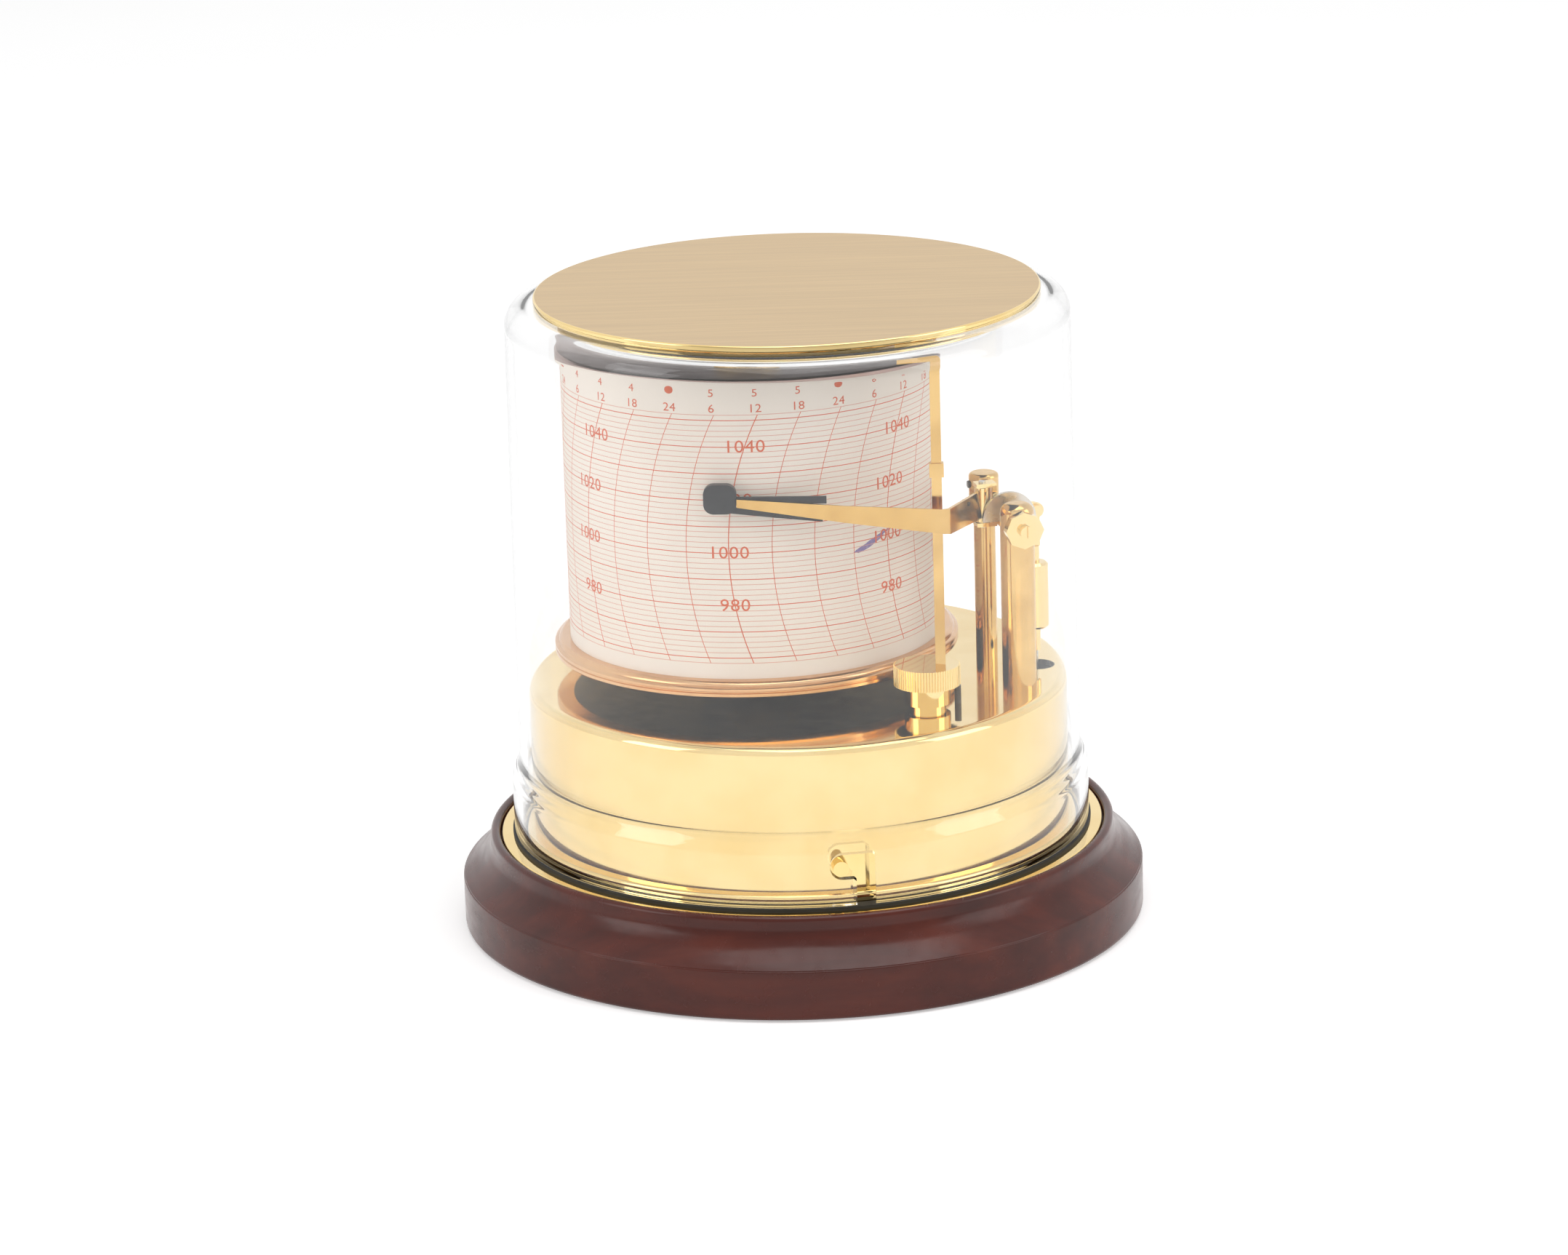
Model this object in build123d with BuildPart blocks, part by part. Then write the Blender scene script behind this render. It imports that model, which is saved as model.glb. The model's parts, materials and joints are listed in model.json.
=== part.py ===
from build123d import *
import math
import os

# Barograph. Millimetres, +Z up, origin at the bottom centre of the base.
# The writing side is at -Y, and the pen stands left of its pivot posts.

os.makedirs("parts", exist_ok=True)

# Clearances
shaft_clearance = 0.05
screw_clearance = 0.12
running_gap = 0.3
seat_gap = 0.1
fixed_fit = 0.02

# Wooden base and its felt
wood_radius = 85.0
wood_bottom = 0.4
wood_edge_z = 12.5
cove_foot_radius = 84.7
cove_foot_z = 13.0
cove_middle_radius = 81.1
cove_middle_z = 15.75
rim_radius = 77.8
rim_foot_z = 20.0
rim_side_z = 23.0
rim_top_radius = 76.5
rim_top_z = 24.0
rim_lip_z = 23.2
wood_recess_z = 20.5
foot_round = 1.0
felt_radius = 76.0
felt_height = 1.5

# Base plate
plate_radius = 75.1
plate_top_z = 23.2
plate_chamfer = 0.3
boss_radius = 68.6
boss_top_z = 26.4
boss_round = 0.8

# Housing can
can_radius = 66.8
can_wall = 1.2
can_top_z = 62.5
can_top_thickness = 1.3
can_round = 2.0
pillar_radius = 4.0
pillar_circle = 55.5
pillar_angles = (60.0, 180.0, 300.0)
housing_screw_radius = 1.9
housing_screw_head_radius = 3.8
housing_screw_head_height = 2.6
housing_screw_depth = 10.0
base_screw_circle = 58.0
base_screw_angles = (0.0, 120.0, 240.0)
base_screw_radius = 2.0
base_screw_head_radius = 4.0
base_screw_head_height = 3.0
base_screw_seat_z = 9.0

# Cover with its bayonet
gasket_inner_radius = 69.0
gasket_outer_radius = 72.2
gasket_height = 0.8
skirt_radius = 71.8
skirt_wall = 2.2
skirt_top_z = 37.0
step_middle_radius = 71.1
step_middle_z = 39.9
tube_foot_radius = 70.0
tube_foot_z = 42.0
tube_top_radius = 69.1
tube_top_z = 152.8
tube_wall = 2.0
shoulder_radius = 64.7
cover_top_z = 157.3
disc_radius = 61.9
disc_height = 1.8
disc_round = 0.5
slot_bottom_z = 30.8
slot_top_z = 37.0
slot_blind_end = 6.3
slot_leg_left = 12.6
slot_leg_right = 17.1
stud_radius = 1.9
stud_azimuth = -82.75
stud_z = 33.3
stud_reach = 71.5
bayonet_count = 3

# Chart drum
drum_x = -10.0
drum_y = 7.0
drum_bottom_z = 68.1
flange_radius = 50.3
flange_top_z = 71.9
flange_groove = 0.25
floor_thickness = 1.2
shell_radius = 46.1
shell_wall = 1.2
paper_thickness = 0.3
paper_top_z = 146.8
lid_top_z = 148.3
lid_spigot = 3.0
lid_round = 0.5
spindle_radius = 4.0
spindle_shank_radius = 3.0
collar_radius = 6.0
sun_seat = 3.0
spindle_end_radius = 2.5
spindle_proud = 0.6
spindle_nut_radius = 5.6
drum_nut_radius = 7.9
drum_nut_height = 2.4
drum_nut_teeth = 60
chart_clip_azimuth = 60.0
chart_clip_width = 4.0
chart_clip_thickness = 0.6

# Clock, its gears and its battery, placed from the drum's axis
gear_module = 0.8
sun_teeth = 36
pinion_teeth = 9
tooth_height = 0.55
tooth_root = 0.85
tooth_root_width = 1.0
tooth_tip_width = 0.5
sun_bottom_z = 63.5
sun_height = 2.5
pinion_bottom_z = 63.8
pinion_height = 2.0
arbor_radius = 1.0
arbor_top_z = 76.0
clock_near = 8.0
clock_far = 33.0
clock_half_width = 22.0
clock_height = 38.0
clock_round = 2.0
battery_radius = 7.1
battery_height = 49.0
battery_distance = 25.0
battery_contact = 1.5
battery_nub_radius = 2.75
battery_nub_height = 1.0
holder_wall = 1.6
holder_height = 44.0

# Pivot posts. The pivot line runs from the front post's axis to the rear one's.
front_post_x = 53.8
front_post_y = -21.6
front_post_radius = 4.05
front_post_top_z = 109.2
front_post_round = 2.4
rear_post_x = 47.4
rear_post_y = 5.9
rear_post_radius = 2.7
rear_cap_radius = 3.75
rear_cap_bottom_z = 102.8
rear_cap_top_z = 109.8
cap_roof = 1.4
cap_round = 1.0
grub_z = 107.0
grub_radius = 0.9
grub_proud = 0.4
post_shank_radius = 2.0
post_nut_radius = 4.0
post_nut_height = 2.4
pivot_z = 103.6
pivot_screw_radius = 1.5
pivot_tip_radius = 0.8
pivot_tip_length = 1.6
lock_nut_size = 8.4
lock_nut_height = 2.4
screw_proud = 1.6
driver_slot_width = 0.6
driver_slot_depth = 0.6

# Arm spindle and what is fixed on it, by distance along the pivot line
spindle_start = 5.0
spindle_rod_radius = 1.6
quadrant_at = 6.0
quadrant_radius = 6.6
quadrant_thickness = 1.2
quadrant_chin = 0.5
gate_at = 9.2
gate_reach = 5.84
gate_block_length = 3.6
gate_pin_radius = 0.8
gate_pin_proud = 0.4
gate_arm_thickness = 1.0
barrel_radius = 1.85
barrel_bottom_z = 102.7
barrel_top_z = 111.3
crank_thickness = 1.0
crank_reach = 9.63
crank_drop = 1.2
crank_hub_radius = 3.0
crank_end_radius = 1.9
link_at = 17.0
strip_thickness = 0.8
link_pin_radius = 0.8
link_pin_head_radius = 1.5

# Link from the crank down to the transfer lever
strip_width = 2.4
strip_eye_wall = 0.5
neck_radius = 1.05
upper_neck_z = 93.0
sleeve_top_z = 89.0
sleeve_bottom_z = 72.2
sleeve_radius = 3.2
sleeve_chamfer = 0.6
lower_neck_z = 66.4
wire_radius = 0.4
wire_bottom_z = 47.0
wire_collar_radius = 1.4
wire_collar_height = 1.6
plate_hole_radius = 4.45

# Transfer lever and capsules
lever_pivot_x = -20.0
lever_z = 53.0
lever_thickness = 2.0
lever_width = 3.0
lever_nose = 2.6
lever_hub_radius = 2.6
lever_hub_width = 6.0
fork_width = 1.5
fork_depth = 6.0
lever_play = 0.4
lever_shaft_radius = 1.0
bracket_cheek = 2.0
bracket_half_length = 3.0
bracket_foot_height = 2.0
bracket_top_z = 56.5
capsule_lever = 26.4
capsule_stud_radius = 5.0
capsule_radius = 21.0
capsule_rim = 19.0
capsule_neck_radius = 4.0
capsule_bottom_z = 30.0
capsule_top_z = 50.0
capsule_count = 5
head_radius = 4.0
head_flange = 0.8
head_tip_radius = 1.2

# Pen arm, by its plan bend and its lower and upper edges
bend_x = 36.4
bend_y = -46.3
blade_tip_x = -13.3
blade_tip_y = -43.0
bend_radius = 2.0
arm_thickness = 0.5
root_bottom_z = 103.75
root_top_z = 110.7
bend_bottom_z = 108.5
bend_top_z = 114.6
blade_x = 12.0
blade_bottom_z = 111.7
blade_top_z = 115.8
tip_bottom_z = 115.7
tip_top_z = 117.7
gate_screw_y = -28.0
gate_screw_z = 110.9
gate_screw_radius = 0.5
gate_screw_head_radius = 1.1
gate_screw_head_height = 0.9
pen_left_x = -21.1
pen_bottom_z = 114.3
pen_top_z = 121.5
pen_thickness = 2.0
pen_round = 2.4
prong_upper_end_x = 8.0
prong_upper_bottom_z = 116.35
prong_upper_top_z = 118.1
prong_lower_end_x = 7.0
prong_root_z = 114.45
prong_middle_x = -4.8
prong_middle_z = 113.06
prong_end_z = 111.9
prong_height = 1.5
prong_thickness = 0.8
nib_from_tip = 6.2
nib_z = 117.6
nib_radius = 0.7
nib_length = 0.6
nib_taper = 30.0

# Lifter
lifter_x = 31.0
lifter_y = -36.3
bush_radius = 4.5
bush_height = 1.3
knob_collar_radius = 5.55
knob_collar_height = 4.6
knob_radius = 8.0
knob_height = 5.0
knob_teeth = 72
knob_tooth_depth = 0.3
knob_shaft_radius = 2.0
bush_shank_radius = 3.2
circlip_radius = 3.6
circlip_height = 1.0
rod_offset_x = 3.2
rod_offset_y = -3.2
rod_width = 2.4
rod_thickness = 1.2
rod_top_z = 152.4
rod_bend_reach = 9.0
rod_bend_radius = 1.4
rod_leg_height = 1.5
rod_clip_wall = 1.0
rod_clip_bottom_z = 121.0
rod_clip_height = 3.4
stop_pin_x = 38.4
stop_pin_y = -33.2
stop_pin_radius = 0.8
stop_pin_height = 4.5

# Directions along the pivot line and from it to the pen
pivot_run = math.hypot(rear_post_x - front_post_x, rear_post_y - front_post_y)
along_x = (rear_post_x - front_post_x) / pivot_run
along_y = (rear_post_y - front_post_y) / pivot_run
pen_side_x = -along_y
pen_side_y = along_x

can_bottom_z = boss_top_z
can_inner_radius = can_radius - can_wall
can_roof_z = can_top_z - can_top_thickness
gasket_top_z = plate_top_z + gasket_height
cover_foot_z = gasket_top_z + seat_gap
shell_inner_radius = shell_radius - shell_wall
floor_top_z = drum_bottom_z + floor_thickness
sun_pitch_radius = gear_module * sun_teeth / 2
pinion_pitch_radius = gear_module * pinion_teeth / 2
gear_distance = sun_pitch_radius + pinion_pitch_radius
link_x = front_post_x + along_x * link_at - pen_side_x * crank_reach
link_y = front_post_y + along_y * link_at - pen_side_y * crank_reach
lever_reach = link_x - lever_pivot_x


def upright(x, y):
    """Plane through a vertical axis: local x is +X, local y is the height."""
    return Plane(origin=(x, y, 0), x_dir=(1, 0, 0), z_dir=(0, -1, 0))


def level(x, y, z):
    """Horizontal plane with its origin over a point."""
    return Plane(origin=(x, y, z))


def across_pivot(distance):
    """Plane square to the pivot line: local x points to the pen, local y up."""
    point = (front_post_x + along_x * distance, front_post_y + along_y * distance, pivot_z)
    return Plane(origin=point, x_dir=(pen_side_x, pen_side_y, 0), z_dir=(along_x, along_y, 0))


def axis_at(x, y):
    """Vertical axis through a point."""
    return Axis((x, y, 0), (0, 0, 1))


def finish(builder, name):
    """Label a sub-part and write its file."""
    builder.part.label = name
    export_step(builder.part, f"parts/{name}.step")


def gear_teeth(teeth, pitch_radius, first_angle):
    """Teeth of a straight-flanked gear, added to the open sketch."""
    root = pitch_radius - tooth_root
    tip = pitch_radius + tooth_height
    foot = tooth_root_width / 2
    crest = tooth_tip_width / 2
    Circle(root)
    with PolarLocations(0, teeth, start_angle=first_angle):
        Polygon((root / 2, -foot), (root, -foot), (tip, -crest), (tip, crest), (root, foot),
                (root / 2, foot), align=None)


# Wooden base, with holes from below for both sets of screws
with BuildPart() as wooden_base:
    with BuildSketch(Plane.XZ):
        with BuildLine():
            Polyline((0, wood_recess_z), (0, felt_height), (felt_radius + seat_gap, felt_height),
                     (felt_radius + seat_gap, wood_bottom), (wood_radius - foot_round, wood_bottom))
            ThreePointArc((wood_radius - foot_round, wood_bottom),
                          (wood_radius - 0.293 * foot_round, wood_bottom + 0.293 * foot_round),
                          (wood_radius, wood_bottom + foot_round))
            Polyline((wood_radius, wood_bottom + foot_round), (wood_radius, wood_edge_z),
                     (cove_foot_radius, cove_foot_z))
            ThreePointArc((cove_foot_radius, cove_foot_z), (cove_middle_radius, cove_middle_z),
                          (rim_radius, rim_foot_z))
            Line((rim_radius, rim_foot_z), (rim_radius, rim_side_z))
            TangentArc((rim_radius, rim_side_z), (rim_top_radius, rim_top_z), tangent=(0, 1))
            Polyline((rim_top_radius, rim_top_z), (plate_radius + running_gap, rim_lip_z),
                     (plate_radius + running_gap, wood_recess_z), (0, wood_recess_z))
        make_face()
    revolve(axis=Axis.Z)
    for angle in pillar_angles:
        with BuildSketch(Plane.XY):
            with PolarLocations(pillar_circle, 1, start_angle=angle):
                Circle(housing_screw_head_radius + running_gap)
        extrude(amount=wood_recess_z, mode=Mode.SUBTRACT)
    for angle in base_screw_angles:
        with BuildSketch(Plane.XY):
            with PolarLocations(base_screw_circle, 1, start_angle=angle):
                Circle(base_screw_head_radius + running_gap)
        extrude(amount=base_screw_seat_z, mode=Mode.SUBTRACT)
        with BuildSketch(Plane.XY):
            with PolarLocations(base_screw_circle, 1, start_angle=angle):
                Circle(base_screw_radius + screw_clearance)
        extrude(amount=wood_recess_z, mode=Mode.SUBTRACT)
finish(wooden_base, "wooden_base")

with BuildPart() as base_felt:
    with BuildSketch():
        Circle(felt_radius)
    extrude(amount=felt_height)
finish(base_felt, "base_felt")

# Base plate, with the three holes of the housing screws and blind holes for the base screws
with BuildPart() as base_plate:
    with BuildSketch(Plane.XZ):
        with BuildLine():
            Polyline((0, boss_top_z), (0, wood_recess_z), (plate_radius, wood_recess_z),
                     (plate_radius, plate_top_z - plate_chamfer),
                     (plate_radius - plate_chamfer, plate_top_z), (boss_radius, plate_top_z),
                     (boss_radius, boss_top_z - boss_round))
            RadiusArc((boss_radius, boss_top_z - boss_round),
                      (boss_radius - boss_round, boss_top_z), -boss_round)
            Line((boss_radius - boss_round, boss_top_z), (0, boss_top_z))
        make_face()
    revolve(axis=Axis.Z)
    for angle in pillar_angles:
        with BuildSketch(Plane.XY.offset(wood_recess_z)):
            with PolarLocations(pillar_circle, 1, start_angle=angle):
                Circle(housing_screw_radius + screw_clearance)
        extrude(amount=boss_top_z - wood_recess_z, mode=Mode.SUBTRACT)
    for angle in base_screw_angles:
        with BuildSketch(Plane.XY.offset(wood_recess_z)):
            with PolarLocations(base_screw_circle, 1, start_angle=angle):
                Circle(base_screw_radius + screw_clearance)
        extrude(amount=(boss_top_z - wood_recess_z) / 2, mode=Mode.SUBTRACT)
finish(base_plate, "base_plate")

with BuildPart() as base_screws:
    for angle in base_screw_angles:
        with BuildSketch(Plane.XY.offset(base_screw_seat_z - base_screw_head_height)):
            with PolarLocations(base_screw_circle, 1, start_angle=angle):
                Circle(base_screw_head_radius)
        extrude(amount=base_screw_head_height)
        with BuildSketch(Plane.XY.offset(base_screw_seat_z)):
            with PolarLocations(base_screw_circle, 1, start_angle=angle):
                Circle(base_screw_radius)
        extrude(amount=wood_recess_z + (boss_top_z - wood_recess_z) / 2 - seat_gap - base_screw_seat_z)
finish(base_screws, "base_screws")

with BuildPart() as housing_pillars:
    for angle in pillar_angles:
        with BuildSketch(Plane.XY.offset(boss_top_z)):
            with PolarLocations(pillar_circle, 1, start_angle=angle):
                Circle(pillar_radius)
        extrude(amount=can_roof_z - boss_top_z)
        with BuildSketch(Plane.XY.offset(boss_top_z)):
            with PolarLocations(pillar_circle, 1, start_angle=angle):
                Circle(housing_screw_radius + screw_clearance)
        extrude(amount=housing_screw_depth + running_gap, mode=Mode.SUBTRACT)
finish(housing_pillars, "housing_pillars")

with BuildPart() as housing_screws:
    for angle in pillar_angles:
        with BuildSketch(Plane.XY.offset(wood_recess_z - housing_screw_head_height)):
            with PolarLocations(pillar_circle, 1, start_angle=angle):
                Circle(housing_screw_head_radius)
        extrude(amount=housing_screw_head_height)
        with BuildSketch(Plane.XY.offset(wood_recess_z)):
            with PolarLocations(pillar_circle, 1, start_angle=angle):
                Circle(housing_screw_radius)
        extrude(amount=boss_top_z - wood_recess_z + housing_screw_depth)
finish(housing_screws, "housing_screws")

# Housing can: a drawn cup, open below, with holes in its top for all that stands on it
with BuildPart() as housing_can:
    with BuildSketch(Plane.XZ):
        with BuildLine():
            Line((0, can_top_z), (can_radius - can_round, can_top_z))
            RadiusArc((can_radius - can_round, can_top_z), (can_radius, can_top_z - can_round), can_round)
            Polyline((can_radius, can_top_z - can_round), (can_radius, can_bottom_z),
                     (can_inner_radius, can_bottom_z), (can_inner_radius, can_roof_z), (0, can_roof_z),
                     (0, can_top_z))
        make_face()
    revolve(axis=Axis.Z)
    with BuildSketch(Plane.XY.offset(can_roof_z)):
        with Locations((front_post_x, front_post_y), (rear_post_x, rear_post_y)):
            Circle(post_shank_radius + screw_clearance)
        with Locations((drum_x, drum_y)):
            Circle(spindle_shank_radius + screw_clearance)
        with Locations((lifter_x, lifter_y)):
            Circle(bush_shank_radius + screw_clearance)
        with Locations((link_x, link_y)):
            Circle(plate_hole_radius)
    extrude(amount=can_top_thickness, mode=Mode.SUBTRACT)
finish(housing_can, "housing_can")

# Bayonet studs, on the can's wall
with BuildPart() as bayonet_studs:
    for turn in range(bayonet_count):
        azimuth = math.radians(stud_azimuth + turn * 360 / bayonet_count)
        outward = (math.cos(azimuth), math.sin(azimuth), 0)
        foot = ((can_radius - seat_gap) * outward[0], (can_radius - seat_gap) * outward[1], stud_z)
        with BuildSketch(Plane(origin=foot, z_dir=outward)):
            Circle(stud_radius)
        extrude(amount=stud_reach - can_radius + seat_gap)
    with BuildSketch(Plane.XY.offset(can_bottom_z)):
        Circle(can_radius)
    extrude(amount=can_top_z - can_bottom_z, mode=Mode.SUBTRACT)
finish(bayonet_studs, "bayonet_studs")

# Sealing gasket under the cover
with BuildPart() as cover_gasket:
    with BuildSketch(Plane.XY.offset(plate_top_z)):
        Circle(gasket_outer_radius)
        Circle(gasket_inner_radius, mode=Mode.SUBTRACT)
    extrude(amount=gasket_height)
finish(cover_gasket, "cover_gasket")

# Clear cover: skirt, stepped tube and rounded shoulder, with a flat closed top
shoulder_height = cover_top_z - tube_top_z
shoulder_middle_radius = shoulder_radius + 0.74 * (tube_top_radius - shoulder_radius)
shoulder_middle_z = tube_top_z + 0.74 * shoulder_height
with BuildPart() as cover_shell:
    with BuildSketch(Plane.XZ):
        with BuildLine():
            Line((skirt_radius, cover_foot_z), (skirt_radius, skirt_top_z))
            ThreePointArc((skirt_radius, skirt_top_z), (step_middle_radius, step_middle_z),
                          (tube_foot_radius, tube_foot_z))
            Line((tube_foot_radius, tube_foot_z), (tube_top_radius, tube_top_z))
            ThreePointArc((tube_top_radius, tube_top_z), (shoulder_middle_radius, shoulder_middle_z),
                          (shoulder_radius, cover_top_z))
            Polyline((shoulder_radius, cover_top_z), (0, cover_top_z), (0, cover_top_z - tube_wall),
                     (shoulder_radius, cover_top_z - tube_wall),
                     (shoulder_middle_radius - 0.7 * tube_wall, shoulder_middle_z - 0.7 * tube_wall),
                     (tube_top_radius - tube_wall, tube_top_z),
                     (tube_foot_radius - tube_wall, tube_foot_z),
                     (skirt_radius - skirt_wall, skirt_top_z),
                     (skirt_radius - skirt_wall, cover_foot_z), (skirt_radius, cover_foot_z))
        make_face()
    revolve(axis=Axis.Z)
    slot_round = (slot_top_z - slot_bottom_z) / 2
    for turn in range(bayonet_count):
        turned = Plane.XZ.rotated((0, 0, turn * 360 / bayonet_count))
        with BuildSketch(turned):
            with Locations((slot_blind_end + slot_round, slot_bottom_z + slot_round)):
                Circle(slot_round)
            with Locations(((slot_blind_end + slot_round + slot_leg_right) / 2,
                            slot_bottom_z + slot_round)):
                Rectangle(slot_leg_right - slot_blind_end - slot_round, 2 * slot_round)
            with Locations(((slot_leg_left + slot_leg_right) / 2, cover_foot_z)):
                Rectangle(slot_leg_right - slot_leg_left, slot_bottom_z - cover_foot_z + slot_round,
                          align=(Align.CENTER, Align.MIN))
        extrude(amount=skirt_radius + running_gap, mode=Mode.SUBTRACT)
finish(cover_shell, "cover_shell")

with BuildPart() as cover_top_disc:
    with BuildSketch(Plane.XY.offset(cover_top_z)):
        Circle(disc_radius)
    extrude(amount=disc_height)
    fillet(cover_top_disc.edges().group_by(Axis.Z)[-1], disc_round)
finish(cover_top_disc, "cover_top_disc")

# Fixed spindle of the drum, the nut below the can's top, the sun gear and the nut on the lid
spindle_foot_z = can_roof_z - post_nut_height - screw_proud
spindle_shoulder_z = lid_top_z + running_gap
with BuildPart() as drum_spindle:
    with BuildSketch(upright(drum_x, drum_y)):
        with BuildLine():
            Polyline((0, spindle_foot_z), (spindle_shank_radius, spindle_foot_z),
                     (spindle_shank_radius, can_top_z), (collar_radius + sun_seat, can_top_z),
                     (collar_radius + sun_seat, sun_bottom_z), (collar_radius, sun_bottom_z),
                     (collar_radius, drum_bottom_z - running_gap),
                     (spindle_radius, drum_bottom_z - running_gap),
                     (spindle_radius, spindle_shoulder_z), (spindle_end_radius, spindle_shoulder_z),
                     (spindle_end_radius, spindle_shoulder_z + drum_nut_height + spindle_proud),
                     (0, spindle_shoulder_z + drum_nut_height + spindle_proud), (0, spindle_foot_z))
        make_face()
    revolve(axis=axis_at(drum_x, drum_y))
finish(drum_spindle, "drum_spindle")

with BuildPart() as spindle_nut:
    with BuildSketch(level(drum_x, drum_y, can_roof_z - post_nut_height)):
        RegularPolygon(spindle_nut_radius, 6)
        Circle(spindle_shank_radius + fixed_fit, mode=Mode.SUBTRACT)
    extrude(amount=post_nut_height)
finish(spindle_nut, "spindle_nut")

with BuildPart() as sun_gear:
    with BuildSketch(level(drum_x, drum_y, sun_bottom_z)):
        gear_teeth(sun_teeth, sun_pitch_radius, 0)
        Circle(collar_radius + fixed_fit, mode=Mode.SUBTRACT)
    extrude(amount=sun_height)
finish(sun_gear, "sun_gear")

with BuildPart() as drum_nut:
    with BuildSketch(level(drum_x, drum_y, spindle_shoulder_z)):
        Circle(drum_nut_radius)
        with PolarLocations(drum_nut_radius, drum_nut_teeth):
            Circle(knob_tooth_depth, mode=Mode.SUBTRACT)
        Circle(spindle_end_radius + fixed_fit, mode=Mode.SUBTRACT)
    extrude(amount=drum_nut_height)
finish(drum_nut, "drum_nut")

# Drum: floor, flange, shell and lid, with the paper and its clip outside
with BuildPart() as drum_floor:
    with BuildSketch(level(drum_x, drum_y, drum_bottom_z)):
        Circle(shell_radius)
        Circle(spindle_radius + shaft_clearance, mode=Mode.SUBTRACT)
        with Locations((gear_distance, 0)):
            Circle(arbor_radius + running_gap, mode=Mode.SUBTRACT)
    extrude(amount=floor_thickness)
finish(drum_floor, "drum_floor")

with BuildPart() as drum_flange:
    with BuildSketch(level(drum_x, drum_y, drum_bottom_z)):
        Circle(flange_radius)
        Circle(shell_radius + fixed_fit, mode=Mode.SUBTRACT)
    extrude(amount=flange_top_z - drum_bottom_z)
    for share in (0.35, 0.65):
        groove_z = drum_bottom_z + share * (flange_top_z - drum_bottom_z)
        with BuildSketch(level(drum_x, drum_y, groove_z)):
            Circle(flange_radius)
            Circle(flange_radius - flange_groove, mode=Mode.SUBTRACT)
        extrude(amount=flange_groove, mode=Mode.SUBTRACT)
finish(drum_flange, "drum_flange")

with BuildPart() as drum_shell:
    with BuildSketch(level(drum_x, drum_y, floor_top_z)):
        Circle(shell_radius)
        Circle(shell_inner_radius, mode=Mode.SUBTRACT)
    extrude(amount=paper_top_z - floor_top_z)
finish(drum_shell, "drum_shell")

with BuildPart() as drum_lid:
    with BuildSketch(level(drum_x, drum_y, paper_top_z)):
        Circle(shell_radius + paper_thickness)
    extrude(amount=lid_top_z - paper_top_z)
    fillet(drum_lid.edges().group_by(Axis.Z)[-1], lid_round)
    with BuildSketch(level(drum_x, drum_y, paper_top_z - lid_spigot)):
        Circle(shell_inner_radius - fixed_fit)
        Circle(shell_inner_radius - shell_wall, mode=Mode.SUBTRACT)
    extrude(amount=lid_spigot)
    with BuildSketch(level(drum_x, drum_y, paper_top_z)):
        Circle(spindle_radius + shaft_clearance)
    extrude(amount=lid_top_z - paper_top_z, mode=Mode.SUBTRACT)
finish(drum_lid, "drum_lid")

with BuildPart() as chart_paper:
    with BuildSketch(level(drum_x, drum_y, flange_top_z)):
        Circle(shell_radius + paper_thickness)
        Circle(shell_radius, mode=Mode.SUBTRACT)
    extrude(amount=paper_top_z - flange_top_z)
finish(chart_paper, "chart_paper")

clip_azimuth = math.radians(chart_clip_azimuth)
clip_outward = (math.cos(clip_azimuth), math.sin(clip_azimuth), 0)
clip_distance = shell_radius + paper_thickness + fixed_fit
clip_middle_z = (flange_top_z + paper_top_z) / 2
clip_point = (drum_x + clip_distance * clip_outward[0], drum_y + clip_distance * clip_outward[1],
              clip_middle_z)
with BuildPart() as chart_clip:
    with BuildSketch(Plane(origin=clip_point, x_dir=(0, 0, 1), z_dir=clip_outward)):
        Rectangle(paper_top_z - flange_top_z, chart_clip_width)
    extrude(amount=chart_clip_thickness)
finish(chart_clip, "chart_clip")

# Clock inside the drum: it drives the pinion, which rolls round the fixed sun gear
with BuildPart() as clock_case:
    with BuildSketch(level(drum_x + (clock_near + clock_far) / 2, drum_y, floor_top_z)):
        RectangleRounded(clock_far - clock_near, 2 * clock_half_width, clock_round)
    extrude(amount=clock_height)
    with BuildSketch(level(drum_x + gear_distance, drum_y, floor_top_z)):
        Circle(arbor_radius + shaft_clearance)
    extrude(amount=arbor_top_z + running_gap - floor_top_z, mode=Mode.SUBTRACT)
finish(clock_case, "clock_case")

with BuildPart() as clock_pinion:
    with BuildSketch(level(drum_x + gear_distance, drum_y, pinion_bottom_z)):
        gear_teeth(pinion_teeth, pinion_pitch_radius, 0)
    extrude(amount=pinion_height)
    with BuildSketch(level(drum_x + gear_distance, drum_y, pinion_bottom_z)):
        Circle(arbor_radius)
    extrude(amount=arbor_top_z - pinion_bottom_z)
finish(clock_pinion, "clock_pinion")

holder_side = 2 * (battery_radius + running_gap + holder_wall)
with BuildPart() as battery_holder:
    with BuildSketch(level(drum_x - battery_distance, drum_y, floor_top_z)):
        RectangleRounded(holder_side, holder_side, holder_wall)
    extrude(amount=holder_height)
    with BuildSketch(level(drum_x - battery_distance, drum_y, floor_top_z + battery_contact)):
        Circle(battery_radius + running_gap)
    extrude(amount=holder_height, mode=Mode.SUBTRACT)
finish(battery_holder, "battery_holder")

with BuildPart() as battery:
    with BuildSketch(level(drum_x - battery_distance, drum_y, floor_top_z + battery_contact)):
        Circle(battery_radius)
    extrude(amount=battery_height)
    with BuildSketch(level(drum_x - battery_distance, drum_y,
                           floor_top_z + battery_contact + battery_height)):
        Circle(battery_nub_radius)
    extrude(amount=battery_nub_height)
finish(battery, "battery")

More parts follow.
